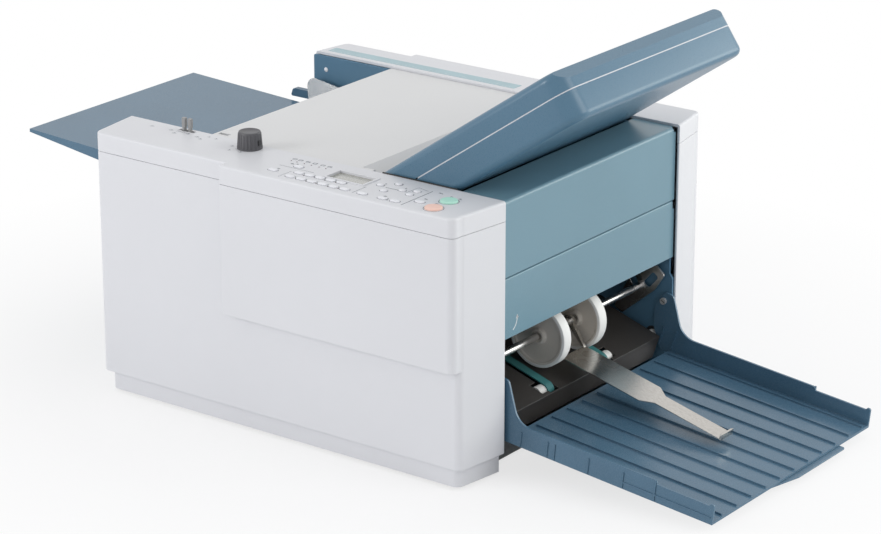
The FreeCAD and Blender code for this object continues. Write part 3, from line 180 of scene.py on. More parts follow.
# colour, roughness, grain and its depth, blotches, how much the colour varies, and then metal and clear coat
coatedFinishes = {
    "coverWhite": ((0.70, 0.705, 0.73), 0.42, 1400, 0.00003, 5.0, 0.012),
    "topGrey": ((0.70, 0.70, 0.70), 0.40, 1400, 0.00003, 5.0, 0.015),
    "panelBlue": ((0.076, 0.168, 0.250), 0.30, 1500, 0.00003, 7.0, 0.04),
    "exitBlue": ((0.158, 0.280, 0.345), 0.28, 1500, 0.00003, 7.0, 0.03),
    "chassisBlue": ((0.085, 0.19, 0.29), 0.42, 1300, 0.00003, 8.0, 0.06),
    "gripBlue": ((0.05, 0.125, 0.20), 0.34, 1800, 0.00004, 20.0, 0.05),
    "trayBlue": ((0.078, 0.158, 0.235), 0.25, 1800, 0.00005, 12.0, 0.05),
    "seamWhite": ((0.70, 0.71, 0.74), 0.5, 1200, 0.00003, 20.0, 0.03),
    "rollerRubber": ((0.045, 0.045, 0.05), 0.7, 2600, 0.00012, 30.0, 0.15),
    "gearPlastic": ((0.66, 0.65, 0.60), 0.5, 1500, 0.00004, 30.0, 0.04),
    "beltTeal": ((0.035, 0.17, 0.175), 0.6, 2600, 0.0001, 40.0, 0.08),
    "beltBlack": ((0.02, 0.02, 0.021), 0.6, 2600, 0.0001, 40.0, 0.2),
    "deckGrey": ((0.035, 0.032, 0.030), 0.4, 1600, 0.00004, 10.0, 0.1),
    "wheelGrey": ((0.67, 0.625, 0.565), 0.40, 1500, 0.00004, 25.0, 0.06),
    "tyreWhite": ((0.86, 0.86, 0.84), 0.55, 2600, 0.00008, 40.0, 0.03),
    "knobGrey": ((0.085, 0.084, 0.092), 0.45, 1800, 0.00005, 40.0, 0.08),
    "leverGrey": ((0.30, 0.30, 0.30), 0.45, 1800, 0.00005, 40.0, 0.06),
    "keyWhite": ((0.84, 0.845, 0.88), 0.5, 2200, 0.00003, 60.0, 0.02),
    "startGreen": ((0.47, 0.80, 0.67), 0.45, 2200, 0.00003, 60.0, 0.03),
    "stopPeach": ((0.90, 0.61, 0.52), 0.45, 2200, 0.00003, 60.0, 0.03),
    "displayGrey": ((0.33, 0.33, 0.30), 0.25, 900, 0.00001, 30.0, 0.05, 0.0, 1.0),
    "idlerWhite": ((0.74, 0.74, 0.72), 0.5, 1600, 0.00004, 30.0, 0.03),
    "pivotChrome": ((0.60, 0.60, 0.60), 0.28, 900, 0.00002, 60.0, 0.03, 0.45),
    "printGrey": ((0.035, 0.06, 0.085), 0.5, 1500, 0.00001, 60.0, 0.05),
    "printWhite": ((0.72, 0.73, 0.74), 0.5, 1500, 0.00001, 60.0, 0.02),
    "lampDark": ((0.05, 0.02, 0.02), 0.2, 900, 0.00001, 60.0, 0.1, 0.0, 0.8),
    "scaleTeal": ((0.40, 0.54, 0.58), 0.5, 1500, 0.00002, 30.0, 0.05),
    "motorBlack": ((0.025, 0.025, 0.028), 0.5, 1500, 0.00006, 20.0, 0.15),
    "footRubber": ((0.03, 0.03, 0.03), 0.75, 2400, 0.0001, 30.0, 0.15),
}
finishes = {name: coatedFinish(name, *values) for name, values in coatedFinishes.items()}
finishes["zincSteel"] = platedFinish("zincSteel", (0.50, 0.50, 0.49), 0.38)
finishes["brightSteel"] = brushedFinish("brightSteel", (0.62, 0.61, 0.60), 0.26, (60, 1, 60), 30.0)
finishes["stainless"] = brushedFinish("stainless", (0.54, 0.52, 0.49), 0.22, (1, 40, 40), 22.0)
finishes["boardGreen"] = boardFinish("boardGreen", (0.02, 0.13, 0.06))

slotFinish = {
    "cover_white": "coverWhite", "panel_blue": "exitBlue", "shell_blue": "panelBlue",
    "chassis_blue": "chassisBlue", "tray_blue": "trayBlue", "zinc_steel": "zincSteel",
    "bright_steel": "brightSteel", "stainless": "stainless", "roller_rubber": "rollerRubber",
    "gear_plastic": "gearPlastic", "belt_teal": "beltTeal", "belt_black": "beltBlack",
    "deck_grey": "deckGrey", "wheel_grey": "wheelGrey", "tyre_white": "tyreWhite",
    "knob_grey": "knobGrey", "key_white": "keyWhite", "start_green": "startGreen",
    "stop_peach": "stopPeach", "lcd_glass": "displayGrey", "scale_teal": "scaleTeal",
    "board_green": "boardGreen", "motor_black": "motorBlack",
}
nodeFinish = {  # nodes whose own finish differs from their slot's
    "rubber_feet": "footRubber", "conveyor_idler": "idlerWhite", "tray_pivots": "pivotChrome",
    "shaft_bushes": "motorBlack",
}
slotOf = {part["node"]: part["material_slot"] for part in frame["record"]["subparts"]}
membersOf = frame["record"]["behaviour"]["bodies"]
bodyOf = {member: body for body, members in membersOf.items() for member in members}
for name, item in nodes.items():
    item.data.materials.clear()
    item.data.materials.append(finishes[nodeFinish.get(name, slotFinish[slotOf[name]])])
print("finishes are on the machine's own parts")


def metres(*values):
    return Vector([value * mm for value in values])


def addPiece(name, mesh, finishName, body):
    data = bpy.data.meshes.new(name)
    mesh.to_mesh(data)
    mesh.free()
    piece = bpy.data.objects.new(name, data)
    bpy.context.scene.collection.objects.link(piece)
    data.materials.append(finishes[finishName])
    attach(piece, body)
    return piece


def replaceNode(node, name, mesh, finishName=None):
    finishName = finishName or slotFinish[slotOf[node]]
    piece = addPiece(name, mesh, finishName, bodyOf[node])
    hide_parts(node)
    return piece


def smoothByAngle(piece, degrees=32.0):
    limit = math.radians(degrees)
    mesh = bmesh.new()
    mesh.from_mesh(piece.data)
    for face in mesh.faces:
        face.smooth = True
    for edge in mesh.edges:
        edge.smooth = len(edge.link_faces) == 2 and edge.calc_face_angle(0.0) < limit
    mesh.to_mesh(piece.data)
    mesh.free()


def roundEdges(piece, width, segments=3, degrees=34.0):
    rounding = piece.modifiers.new("roundedEdges", "BEVEL")
    rounding.width = width * mm
    rounding.segments = segments
    rounding.limit_method = "ANGLE"
    rounding.angle_limit = math.radians(degrees)
    rounding.harden_normals = True
    rounding.use_clamp_overlap = True


def copyOfNode(node, merge=0.002, flatDegrees=0.4):
    mesh = bmesh.new()
    mesh.from_mesh(nodes[node].data)
    bmesh.ops.remove_doubles(mesh, verts=mesh.verts, dist=merge * mm)
    bmesh.ops.dissolve_limit(mesh, angle_limit=math.radians(flatDegrees), verts=mesh.verts, edges=mesh.edges,
                             use_dissolve_boundaries=False)
    bmesh.ops.recalc_face_normals(mesh, faces=mesh.faces)
    return mesh


def softened(node, pieceName, width, finishName=None, segments=3, reshape=None):
    mesh = copyOfNode(node)
    if reshape:
        reshape(mesh)
    piece = replaceNode(node, pieceName, mesh, finishName)
    smoothByAngle(piece)
    roundEdges(piece, width, segments)
    return piece


def edgesOf(verts):
    return list(dict.fromkeys(edge for vert in verts for edge in vert.link_edges))


def everything(mesh):
    return mesh.verts[:] + mesh.edges[:] + mesh.faces[:]


def bevelEdges(mesh, edges, width, segments):
    bmesh.ops.bevel(mesh, geom=edges, offset=width * mm, segments=segments, profile=0.5, affect="EDGES",
                    material=-1)


def faceTowards(mesh, direction):
    for face in mesh.faces:
        if face.normal.dot(direction) < 0:
            face.normal_flip()


def ring(mesh, center, radius, width, segments=48):
    place = Matrix.Translation(metres(*center))
    outer = bmesh.ops.create_circle(mesh, segments=segments, radius=radius * mm, matrix=place)
    made = bmesh.ops.extrude_edge_only(mesh, edges=edgesOf(outer["verts"]))
    inner = [v for v in made["geom"] if isinstance(v, bmesh.types.BMVert)]
    factor = (radius - width) / radius
    bmesh.ops.scale(mesh, vec=(factor, factor, 1), space=place.inverted(), verts=inner)


def flatBar(mesh, start, end, width):
    start = metres(*start)
    end = metres(*end)
    along = end - start
    turn = Matrix.Rotation(math.atan2(along.y, along.x), 4, "Z")
    sizing = Matrix.Diagonal((along.length / 2, width * mm / 2, 1, 1))
    place = Matrix.Translation((start + end) / 2) @ turn @ sizing
    bmesh.ops.create_grid(mesh, x_segments=1, y_segments=1, size=1.0, matrix=place)


def block(mesh, low, high, matrix=Matrix.Identity(4)):
    low = metres(*low)
    high = metres(*high)
    place = Matrix.Translation((low + high) / 2) @ Matrix.Diagonal((*(high - low), 1))
    return bmesh.ops.create_cube(mesh, size=1.0, matrix=matrix @ place)["verts"]


def spinProfile(mesh, points, center, axis, steps):
    # the points are radius and height, round an axis square to X
    center = metres(*center)
    places = [center + xAxis * (radius * mm) + axis * (height * mm) for radius, height in points]
    verts = [mesh.verts.new(place) for place in places]
    edges = [mesh.edges.new((verts[i - 1], verts[i])) for i in range(len(verts))]
    bmesh.ops.spin(mesh, geom=verts + edges, cent=center, axis=axis, angle=math.tau, steps=steps,
                   use_merge=True)
    bmesh.ops.remove_doubles(mesh, verts=mesh.verts, dist=1e-6)
    bmesh.ops.recalc_face_normals(mesh, faces=mesh.faces)


casing = {"coverEdge": 1.2, "sheetEdge": 0.9, "thinEdge": 0.6, "sidePlateEdge": 0.5}
lidEnd = {"bend": 65.0, "slope": 0.70, "ears": (-149.8, 171.8), "corner": 2.4, "under": 312.9, "near": 0.01}
platePlug = {
    "spot": (-249.0, 180.7, 298.0), "steps": 32, "smooth": 50,
    "profile": [(0, 1.5), (2.9, 1.5), (2.9, -0.2), (2.4, -0.7), (0, -1.1)],
}
# painted shade: a dark strip stands in for the shade in the gap between the cap's inner edge and the fold
# plate's side
gapShadeStrip = {"low": (101.0, -162.0, 314.0), "high": (202.0, -160.4, 320.2), "edge": 0.3}


def bendLidEnd(mesh):
    # the lid is folded down between its two hinge ears
    low, high = lidEnd["ears"]
    corner = lidEnd["corner"]
    cuts = [((lidEnd["bend"], 0, 0), xAxis)]
    cuts += [((0, y, 0), yAxis) for y in (low, low + corner, high - corner, high)]
    for place, normal in cuts:
        bmesh.ops.bisect_plane(mesh, geom=everything(mesh), dist=1e-7, plane_co=metres(*place),
                               plane_no=normal)
    near = lidEnd["near"] * mm
    for vert in mesh.verts:
        past = vert.co.x - lidEnd["bend"] * mm
        between = low * mm + near < vert.co.y < high * mm - near
        if past > near and between and vert.co.z > lidEnd["under"] * mm:
            vert.co.z -= past * lidEnd["slope"]


def makeCasing():
    softened("front_cover", "frontCoverShell", casing["coverEdge"])
    softened("rear_cover", "rearCoverShell", casing["coverEdge"])
    softened("front_cap", "frontCapShell", casing["sheetEdge"], "coverWhite")
    softened("rear_cap", "rearCapShell", casing["sheetEdge"], "coverWhite")
    softened("top_lid", "topLidSheet", casing["sheetEdge"], "topGrey", reshape=bendLidEnd)
    softened("exit_cover", "exitCoverSheet", casing["sheetEdge"])
    softened("exit_flap", "exitFlapSheet", casing["thinEdge"])
    softened("feed_end_cover", "feedEndSheet", casing["thinEdge"])
    softened("frame_rear", "rearSidePlate", casing["sidePlateEdge"])
    softened("frame_front", "frontSidePlate", casing["sidePlateEdge"])

    mesh = bmesh.new()
    spinProfile(mesh, platePlug["profile"], platePlug["spot"], yAxis, platePlug["steps"])
    smoothByAngle(addPiece("plateHolePlug", mesh, "keyWhite", "chassis"), platePlug["smooth"])

    # the dark strip painted in for the shade in the gap beside the fold plate
    mesh = bmesh.new()
    block(mesh, gapShadeStrip["low"], gapShadeStrip["high"])
    bevelEdges(mesh, mesh.edges[:], gapShadeStrip["edge"], 2)
    smoothByAngle(addPiece("capGapShadeStrip", mesh, "footRubber", "chassis"))
    print("casing is dressed")


foldPlate = {  # measured along the plate and down from its top face
    "edge": 1.2, "length": 273.0, "sides": (-159.0, 181.0), "corner": 24.0, "cornerSteps": 12,
    "seamStart": 40.0, "seamDepth": 24.0, "seamHeight": 1.4, "inset": 0.5, "sunkBelow": 312.5,
}
plateEnd = {"along": 12.0, "deep": 13.0, "ceiling": -2.5, "near": 0.03, "roomStart": 248.5,
            "room": (-6.0, 0, -7.0)}


def plateMatrix():
    startX, startZ = placing["plateStart"]
    turn = Matrix.Rotation(math.radians(-placing["plateAngle"]), 4, "Y")
    return Matrix.Translation(metres(startX, 0, startZ)) @ turn


def slopePlateEnd(mesh):
    # the plate's lid ends in a flat slope, and the room inside gives way to it
    bmesh.ops.transform(mesh, matrix=plateMatrix().inverted(), verts=mesh.verts)
    ceiling = plateEnd["ceiling"] * mm
    inside = [v for v in mesh.verts if v.co.x > plateEnd["roomStart"] * mm
              and abs(v.co.z - ceiling) < plateEnd["near"] * mm]
    bmesh.ops.translate(mesh, vec=metres(*plateEnd["room"]), verts=inside)
    along = plateEnd["along"]
    made = bmesh.ops.bisect_plane(mesh, geom=everything(mesh), dist=1e-7, clear_outer=True,
                                  plane_co=metres(foldPlate["length"] - along, 0, 0),
                                  plane_no=(plateEnd["deep"], 0, along))
    rim = [e for e in made["geom_cut"] if isinstance(e, bmesh.types.BMEdge)]
    bmesh.ops.contextual_create(mesh, geom=rim)
    bmesh.ops.transform(mesh, matrix=plateMatrix(), verts=mesh.verts)
    bmesh.ops.recalc_face_normals(mesh, faces=mesh.faces)


def makeFoldPlate():
    softened("fold_plate_upper_shell", "foldPlateTop", foldPlate["edge"], reshape=slopePlateEnd)
    softened("fold_plate_lower_shell", "foldPlateBottom", foldPlate["edge"])

    # the pale seam between the two shells, cut off where it sinks into the machine
    mesh = bmesh.new()
    inset = foldPlate["inset"]
    front, rear = foldPlate["sides"]
    end = foldPlate["length"] - inset
    top = -foldPlate["seamDepth"]
    low = top - foldPlate["seamHeight"]
    block(mesh, (foldPlate["seamStart"], front + inset, low), (end, rear - inset, top))
    corners = [e for e in mesh.edges if all(v.co.x > (end - 1) * mm for v in e.verts)
               and abs(e.verts[0].co.y - e.verts[1].co.y) < 1e-6]
    bevelEdges(mesh, corners, foldPlate["corner"] - inset, foldPlate["cornerSteps"])
    bmesh.ops.transform(mesh, matrix=plateMatrix(), verts=mesh.verts)
    bmesh.ops.bisect_plane(mesh, geom=everything(mesh), plane_co=metres(0, 0, foldPlate["sunkBelow"]),
                           plane_no=zAxis, clear_inner=True)
    bmesh.ops.recalc_face_normals(mesh, faces=mesh.faces)
    smoothByAngle(addPiece("foldPlateSeam", mesh, "seamWhite", "fold_plate"))
    print("fold plate is dressed")


panel = {  # spots are x and y, lines run from one spot to another and end with their width
    "keyLength": 12.0, "keyWidth": 6.0, "smallKeyLength": 8.5, "keyRise": 1.2, "keyDepth": 6.0,
    "keyEdge": 0.5, "matLow": (-12.0, -236.0), "matHigh": (203.0, -179.5), "matDepth": 7.5,
    "rowBack": [(27.5 + 14.7 * i, -216.0) for i in range(5)],
    "rowFront": [(27.5 + 15.1 * i, -231.5) for i in range(6)],
    "single": [(127.4, -232.0), (-2.9, -223.9), (13.4, -199.0), (154.5, -231.5), (171.0, -231.5),
               (194.0, -218.0)],
    "small": [(125.4, -197.0), (140.0, -183.5), (140.0, -210.5), (155.6, -198.0), (170.7, -191.5),
              (170.7, -205.0)],
    "ringGap": 1.8, "ringLine": 0.45, "printLift": 0.05,
    "lines": [(-9.0, -205.5, 40.0, -205.5, 0.5), (16.5, -238.6, 16.5, -215.6, 0.5),
              (116.3, -235.5, 116.3, -210.7, 0.6), (184.0, -237.7, 184.0, -180.8, 0.9),
              (163.2, -202.0, 164.6, -179.6, 0.5), (164.6, -179.6, 180.1, -183.6, 0.5),
              (134.5, -199.9, 154.4, -199.4, 0.9)],
    "lamps": [(37.1, -220.4), (49.8, -217.4), (65.7, -219.5), (80.5, -218.6), (36.6, -233.4), (51.1, -234.0),
              (65.5, -234.0), (81.7, -234.4), (95.6, -233.4)],
    "lampRadius": 0.8, "lampTop": 0.56, "lampHeight": 0.6, "lampLift": 0.2, "lampSides": 16,
}
display = {"spot": (84.3, -195.7), "size": (50.0, 25.0), "drop": 1.6, "depth": 7.5, "gap": 0.3, "rim": 1.4,
           "step": 0.4}
roundKeys = {
    "start": (218.4, -198.4), "stop": (218.6, -226.3), "radius": 9.8, "rise": 2.6, "depth": 5.7,
    "edge": 1.4, "edgeRise": 1.0, "edgeSteps": 6, "crown": 0.1, "steps": 64, "smooth": 40,
    "ringGap": 1.6, "ringLine": 0.5,
}
statusIcons = {"x": [-7.5, 0.6, 11.1, 21.0, 31.9, 41.4], "y": -179.0, "lampY": -186.3, "left": -2.6,
               "right": 2.0, "shoulder": 1.2, "half": 1.8, "line": 0.75}
# spots and lengths of the marks, and their strokes: each x is a share of the length, each y is in millimetres
keyMarks = {
    "spots": [(0.9, -194.2, 5.0), (-0.4, -216.4, 4.0), (6.3, -192.1, 3.0), (153.3, -224.6, 4.5),
              (194.2, -206.5, 5.0), (213.0, -212.5, 5.0), (212.1, -184.3, 4.0), (195.6, -181.3, 6.0),
              (223.8, -184.8, 4.0), (142.8, -180.2, 2.4), (154.9, -189.8, 2.4), (127.9, -190.0, 2.4),
              (135.0, -182.8, 2.4), (161.9, -233.3, 2.4), (175.8, -230.2, 2.4)],
    "strokes": [(-0.5, -0.6, 0.5, -0.6), (-0.5, 0.9, 0.2, 0.9)], "line": 0.8,
}
sideMarks = {
    "spots": [(-219.1, -178.7, 5.5), (-191.3, -177.5, 5), (-180.8, -184.3, 5), (-176.8, -171.7, 4.5),
              (-165.5, -177.8, 4.5), (-149.7, -180.5, 5.5), (-142.0, -184.3, 4), (-138.7, -172.4, 2.5),
              (-127.4, -173.6, 3), (-95.6, -183.2, 4), (-84.0, -188.6, 3.5), (-74.1, -195.2, 3),
              (-88.8, -196.8, 3)],
    "strokes": [(-0.5, -0.7, 0.1, -0.7), (0.1, -0.7, 0.5, 1.2), (-0.3, 1.4, 0.2, 1.4)], "line": 0.8,
}
leverMarks = {"y": -174.6, "count": 5, "pitch": 2.2, "length": 3.3, "shorter": 0.8, "line": 0.5}


def stadium(mesh, x, y, length, width, low, high, edge=0.0):
    halfLength = length / 2
    halfWidth = width / 2
    verts = block(mesh, (x - halfLength, y - halfWidth, low), (x + halfLength, y + halfWidth, high))
    corners = [e for e in edgesOf(verts) if abs(e.verts[0].co.z - e.verts[1].co.z) > 1e-5]
    bevelEdges(mesh, corners, halfWidth - 0.02, 8)  # the two rounds stop just short of meeting
    if edge:
        top = high * mm - 1e-6
        reach = 1.02  # takes in this key's own rim and nothing of its neighbours
        rim = [e for e in mesh.edges if e.is_valid and all(
            v.co.z > top and abs(v.co.x - x * mm) <= halfLength * reach * mm
            and abs(v.co.y - y * mm) <= halfWidth * reach * mm for v in e.verts)]
        bevelEdges(mesh, rim, edge, 2)


def stadiumRing(mesh, x, y, length, width, line, z):
    # the outline alone is kept of a thin stadium
    before = set(mesh.verts)
    stadium(mesh, x, y, length, width, z - 0.2, z)
    made = [f for f in mesh.faces if all(v not in before for v in f.verts)]
    top = [f for f in made if all(v.co.z > (z - 0.01) * mm for v in f.verts)]
    rest = [f for f in made if f not in top]
    bmesh.ops.inset_region(mesh, faces=top, thickness=line * mm, depth=0.0)
    bmesh.ops.delete(mesh, geom=top + rest, context="FACES")


def makeKeys(top, keys):
    mesh = bmesh.new()
    for x, y, length in keys:
        stadium(mesh, x, y, length, panel["keyWidth"], top - panel["keyDepth"], top + panel["keyRise"],
                panel["keyEdge"])
    block(mesh, (*panel["matLow"], top - panel["matDepth"]), (*panel["matHigh"], top - panel["keyDepth"]))
    bmesh.ops.recalc_face_normals(mesh, faces=mesh.faces)
    smoothByAngle(replaceNode("panel_keys", "panelKeys", mesh))


def makePanelPrint(top, keys):
    mesh = bmesh.new()
    z = top + panel["printLift"]
    gap = panel["ringGap"]
    for x, y, length in keys:
        stadiumRing(mesh, x, y, length + gap, panel["keyWidth"] + gap, panel["ringLine"], z)
    for x, y in (roundKeys["start"], roundKeys["stop"]):
        ring(mesh, (x, y, z), roundKeys["radius"] + roundKeys["ringGap"], roundKeys["ringLine"])

    def line(x0, y0, x1, y1, width):
        flatBar(mesh, (x0, y0, z), (x1, y1, z), width)

    for ends in panel["lines"]:
        line(*ends)
    low = statusIcons["y"] - statusIcons["half"]
    high = statusIcons["y"] + statusIcons["half"]
    width = statusIcons["line"]
    for index, x in enumerate(statusIcons["x"]):
        left = x + statusIcons["left"]
        right = x + statusIcons["right"]
        line(left, low, left, high, width)
        line(left, high, x + statusIcons["shoulder"] + index % 2, high, width)
        line(right, low, right, high, width)
        line(left, low, right, low + index % 3, width)
    for marks in (keyMarks, sideMarks):
        for x, y, length in marks["spots"]:
            for x0, y0, x1, y1 in marks["strokes"]:
                line(x + length * x0, y + y0, x + length * x1, y + y1, marks["line"])
    pitch = leverMarks["pitch"]
    for center in placing["leverX"].values():
        for step in range(leverMarks["count"]):
            x = center + pitch * (step - (leverMarks["count"] - 1) / 2)
            end = leverMarks["y"] - leverMarks["shorter"] * (step % 2)
            line(x, leverMarks["y"] - leverMarks["length"], x, end, leverMarks["line"])
    bmesh.ops.recalc_face_normals(mesh, faces=mesh.faces)
    faceTowards(mesh, zAxis)
    addPiece("panelPrint", mesh, "printGrey", "chassis")


def makePanelLamps(top):
    mesh = bmesh.new()
    for x, y in panel["lamps"] + [(x, statusIcons["lampY"]) for x in statusIcons["x"]]:
        bmesh.ops.create_cone(mesh, cap_ends=True, segments=panel["lampSides"],
                              radius1=panel["lampRadius"] * mm, radius2=panel["lampTop"] * mm,
                              depth=panel["lampHeight"] * mm,
                              matrix=Matrix.Translation(metres(x, y, top + panel["lampLift"])))
    smoothByAngle(addPiece("panelLamps", mesh, "lampDark", "chassis"))


def makeDisplay(top):
    x, y = display["spot"]
    halfX = display["size"][0] / 2 - display["gap"]
    halfY = display["size"][1] / 2 - display["gap"]
    mesh = bmesh.new()
    block(mesh, (x - halfX, y - halfY, top - display["depth"]), (x + halfX, y + halfY, top - display["drop"]))
    glass = [f for f in mesh.faces if f.normal.z > 0.9]
    bmesh.ops.inset_region(mesh, faces=glass, thickness=display["rim"] * mm, depth=0.0)
    bmesh.ops.inset_region(mesh, faces=glass, thickness=display["step"] * mm, depth=-display["step"] * mm)
    replaceNode("lcd_window", "displayWindow", mesh)


def makeRoundKey(keyName, top):
    radius = roundKeys["radius"]
    edge = roundKeys["edge"]
    low = top - roundKeys["depth"]
    high = top + roundKeys["rise"]
    profile = [(0, low), (radius, low), (radius, high - edge)]
    for step in range(1, roundKeys["edgeSteps"] + 1):
        turn = math.radians(90 * step / roundKeys["edgeSteps"])
        inward = edge * (1 - math.cos(turn))
        profile.append((radius - inward, high - edge + roundKeys["edgeRise"] * math.sin(turn)))
    profile.append((radius / 2, high - roundKeys["crown"]))
    profile.append((0, high))
    mesh = bmesh.new()
    spinProfile(mesh, profile, (*roundKeys[keyName], 0), zAxis, roundKeys["steps"])
    smoothByAngle(replaceNode(keyName + "_key", keyName + "KeyCap", mesh), roundKeys["smooth"])


def makeControlPanel():
    top = placing["capTop"]
    keys = [(x, y, panel["keyLength"]) for x, y in panel["rowBack"] + panel["rowFront"] + panel["single"]]
    keys += [(x, y, panel["smallKeyLength"]) for x, y in panel["small"]]
    makeKeys(top, keys)
    makePanelPrint(top, keys)
    makePanelLamps(top)
    makeDisplay(top)
    makeRoundKey("start", top)
    makeRoundKey("stop", top)
    print("control panel is dressed")


knob = {
    "spot": (-74.6, -177.1), "lift": 0.3, "base": 14.6, "top": 13.1, "height": 19.9, "stem": 3.0,
    "stemEnd": 299.0, "skirt": 1.6, "skirtTop": 2.2, "steps": 72, "smooth": 40,
    # past the top's radius and its height
    "rim": [(0.3, -1.0), (0, -0.3), (-0.8, 0), (-1.6, 0), (-2.0, -0.3)],
    "ribs": 22, "ribDepth": 0.8, "ribRadii": (1.15, 1.05), "ribSides": 12, "ribStart": 2.0, "ribShorter": 4.2,
    "ribSink": 0.4,
    "notchTurn": 2.0, "notchHeights": (5.0, 11.0), "notchDepths": (-2.0, 0.75), "notchHalf": 2.2,
    "notchEdge": 0.4,
}


def makeKnob():
    seat = placing["capTop"] + knob["lift"]
    base = knob["base"]
    stem = knob["stem"]
    center = (*knob["spot"], 0)
    radius = base - knob["ribDepth"]
    topRadius = knob["top"] - knob["ribDepth"]
    high = seat + knob["height"]
    profile = [(0, knob["stemEnd"]), (stem, knob["stemEnd"]), (stem, seat), (base, seat),
               (base, seat + knob["skirt"]), (radius, seat + knob["skirtTop"])]
    profile += [(topRadius + past, high + above) for past, above in knob["rim"]]
    profile.append((0, profile[-1][1]))
    mesh = bmesh.new()
    spinProfile(mesh, profile, center, zAxis, knob["steps"])
    stand = Matrix.Translation(metres(*center))
    tilt = Matrix.Rotation(-math.atan2(base - knob["top"], knob["height"]), 4, "Y")
    length = knob["height"] - knob["ribShorter"]
    low, high = knob["ribRadii"]
    for index in range(knob["ribs"]):
        turn = Matrix.Rotation(math.tau * index / knob["ribs"], 4, "Z")
        foot = Matrix.Translation(metres(radius, 0, seat + knob["ribStart"]))
        middle = Matrix.Translation(metres(-knob["ribSink"], 0, length / 2))
        bmesh.ops.create_cone(mesh, cap_ends=True, segments=knob["ribSides"], depth=length * mm,
                              radius1=low * mm, radius2=high * mm,
                              matrix=stand @ turn @ foot @ tilt @ middle)
    smoothByAngle(replaceNode("setting_knob", "settingKnob", mesh), knob["smooth"])

    # painted shade: a black block stands in for the shade inside the knob's pointer notch
    mesh = bmesh.new()
    turn = stand @ Matrix.Rotation(math.radians(knob["notchTurn"]), 4, "Z")
    low, high = knob["notchHeights"]
    inner, outer = knob["notchDepths"]
    half = knob["notchHalf"]
    block(mesh, (radius + inner, -half, seat + low), (radius + outer, half, seat + high), turn)
    bevelEdges(mesh, mesh.edges[:], knob["notchEdge"], 2)
    addPiece("knobNotchShade", mesh, "motorBlack", "knob")
    print("knob is dressed")


levers = {"y": (-170.6, -166.4), "inset": 0.3, "ribTop": 332.6, "ribs": 5, "ribPitch": 1.9, "ribHalf": 0.45,
          "ribFrom": 2.1, "ribTo": 2.8, "edge": 0.35}


def makeLevers():
    front = levers["y"][0] + levers["inset"]
    rear = levers["y"][1] - levers["inset"]
    half = levers["ribHalf"]
    for side, x in placing["leverX"].items():
        mesh = copyOfNode("feed_lever_" + side)
        for index in range(levers["ribs"]):
            z = levers["ribTop"] - index * levers["ribPitch"]
            for way in (-1, 1):
                low, high = sorted((x + way * levers["ribFrom"], x + way * levers["ribTo"]))
                block(mesh, (low, front, z - half), (high, rear, z + half))
        piece = replaceNode("feed_lever_" + side, side + "Lever", mesh, "leverGrey")
        smoothByAngle(piece)
        roundEdges(piece, levers["edge"], 2)
    print("levers are dressed")


wheels = {  # the profiles are radius and depth behind the wheel's face, from the shaft outwards
    "width": 14.5, "offset": 36.0, "discSteps": 72, "tyreSteps": 96, "discSmooth": 30, "tyreSmooth": 40,
    "disc": [(4.5, 2.6), (6.0, 2.2), (6.4, 0.3), (7.6, 0), (8.4, 0.5), (8.9, 3.6), (10.2, 4.7), (25.7, 4.2),
             (30.3, 2.6), (31.5, 0.8), (33.7, 0.5)],
    "tyre": [(33.7, 0), (36.1, 0), (36.95, 0.35), (37.3, 1.2)],
    "bracketEdge": 0.4, "shaftEdge": 0.6,
}
leaf = {"edge": 0.3, "hemX": 446.2, "hemZ": 33.1, "hemWidth": 23.3, "hemThick": 3.4, "hemHeight": 6.6,
        "hemLean": 12.0, "hemEdge": 1.2, "smooth": 50}


def bothFaces(profile):
    side = [(radius, depth - wheels["width"] / 2) for radius, depth in profile]
    return side + [(radius, -height) for radius, height in reversed(side)]


def makeWheels():
    shaftX, shaftZ = placing["wheelShaft"]
    discs = bmesh.new()
    tyres = bmesh.new()
    for side in (-1, 1):
        center = (shaftX, placing["middleY"] + side * wheels["offset"], shaftZ)
        spinProfile(discs, bothFaces(wheels["disc"]), center, yAxis, wheels["discSteps"])
        spinProfile(tyres, bothFaces(wheels["tyre"]), center, yAxis, wheels["tyreSteps"])
    smoothByAngle(replaceNode("wheel_discs", "wheelDiscs", discs), wheels["discSmooth"])
    smoothByAngle(replaceNode("wheel_tyres", "wheelTyres", tyres), wheels["tyreSmooth"])
    softened("wheel_brackets", "wheelBrackets", wheels["bracketEdge"])
    softened("wheel_shaft", "wheelShaft", wheels["shaftEdge"])
    softened("press_leaf", "pressLeaf", leaf["edge"], segments=2)

    mesh = bmesh.new()
    reach = leaf["hemWidth"] / 2
    place = Matrix.Translation(metres(leaf["hemX"], placing["middleY"], leaf["hemZ"]))
    turn = Matrix.Rotation(math.radians(leaf["hemLean"]), 4, "Y")
    block(mesh, (-leaf["hemThick"], -reach, 0), (0, reach, leaf["hemHeight"]), place @ turn)
    bevelEdges(mesh, mesh.edges[:], leaf["hemEdge"], 4)
    smoothByAngle(addPiece("leafHem", mesh, "stainless", "leaf"), leaf["smooth"])
    print("stacking wheels are dressed")


trays = {"trayEdge": 0.8, "sheetEdge": 0.6, "guideEdge": 0.4, "deckEdge": 0.5}
guides = {"fence": 158.25, "gripEnd": -258.5, "near": 0.02}  # fence faces from the middle, ends of the grips
trayScrews = {"capRadius": 5.0, "head": 3.9, "near": 0.1, "edge": 0.7, "slotWidth": 0.9, "slotLength": 6.0,
              "slotHeight": 0.06, "slotTurn": 35.0}


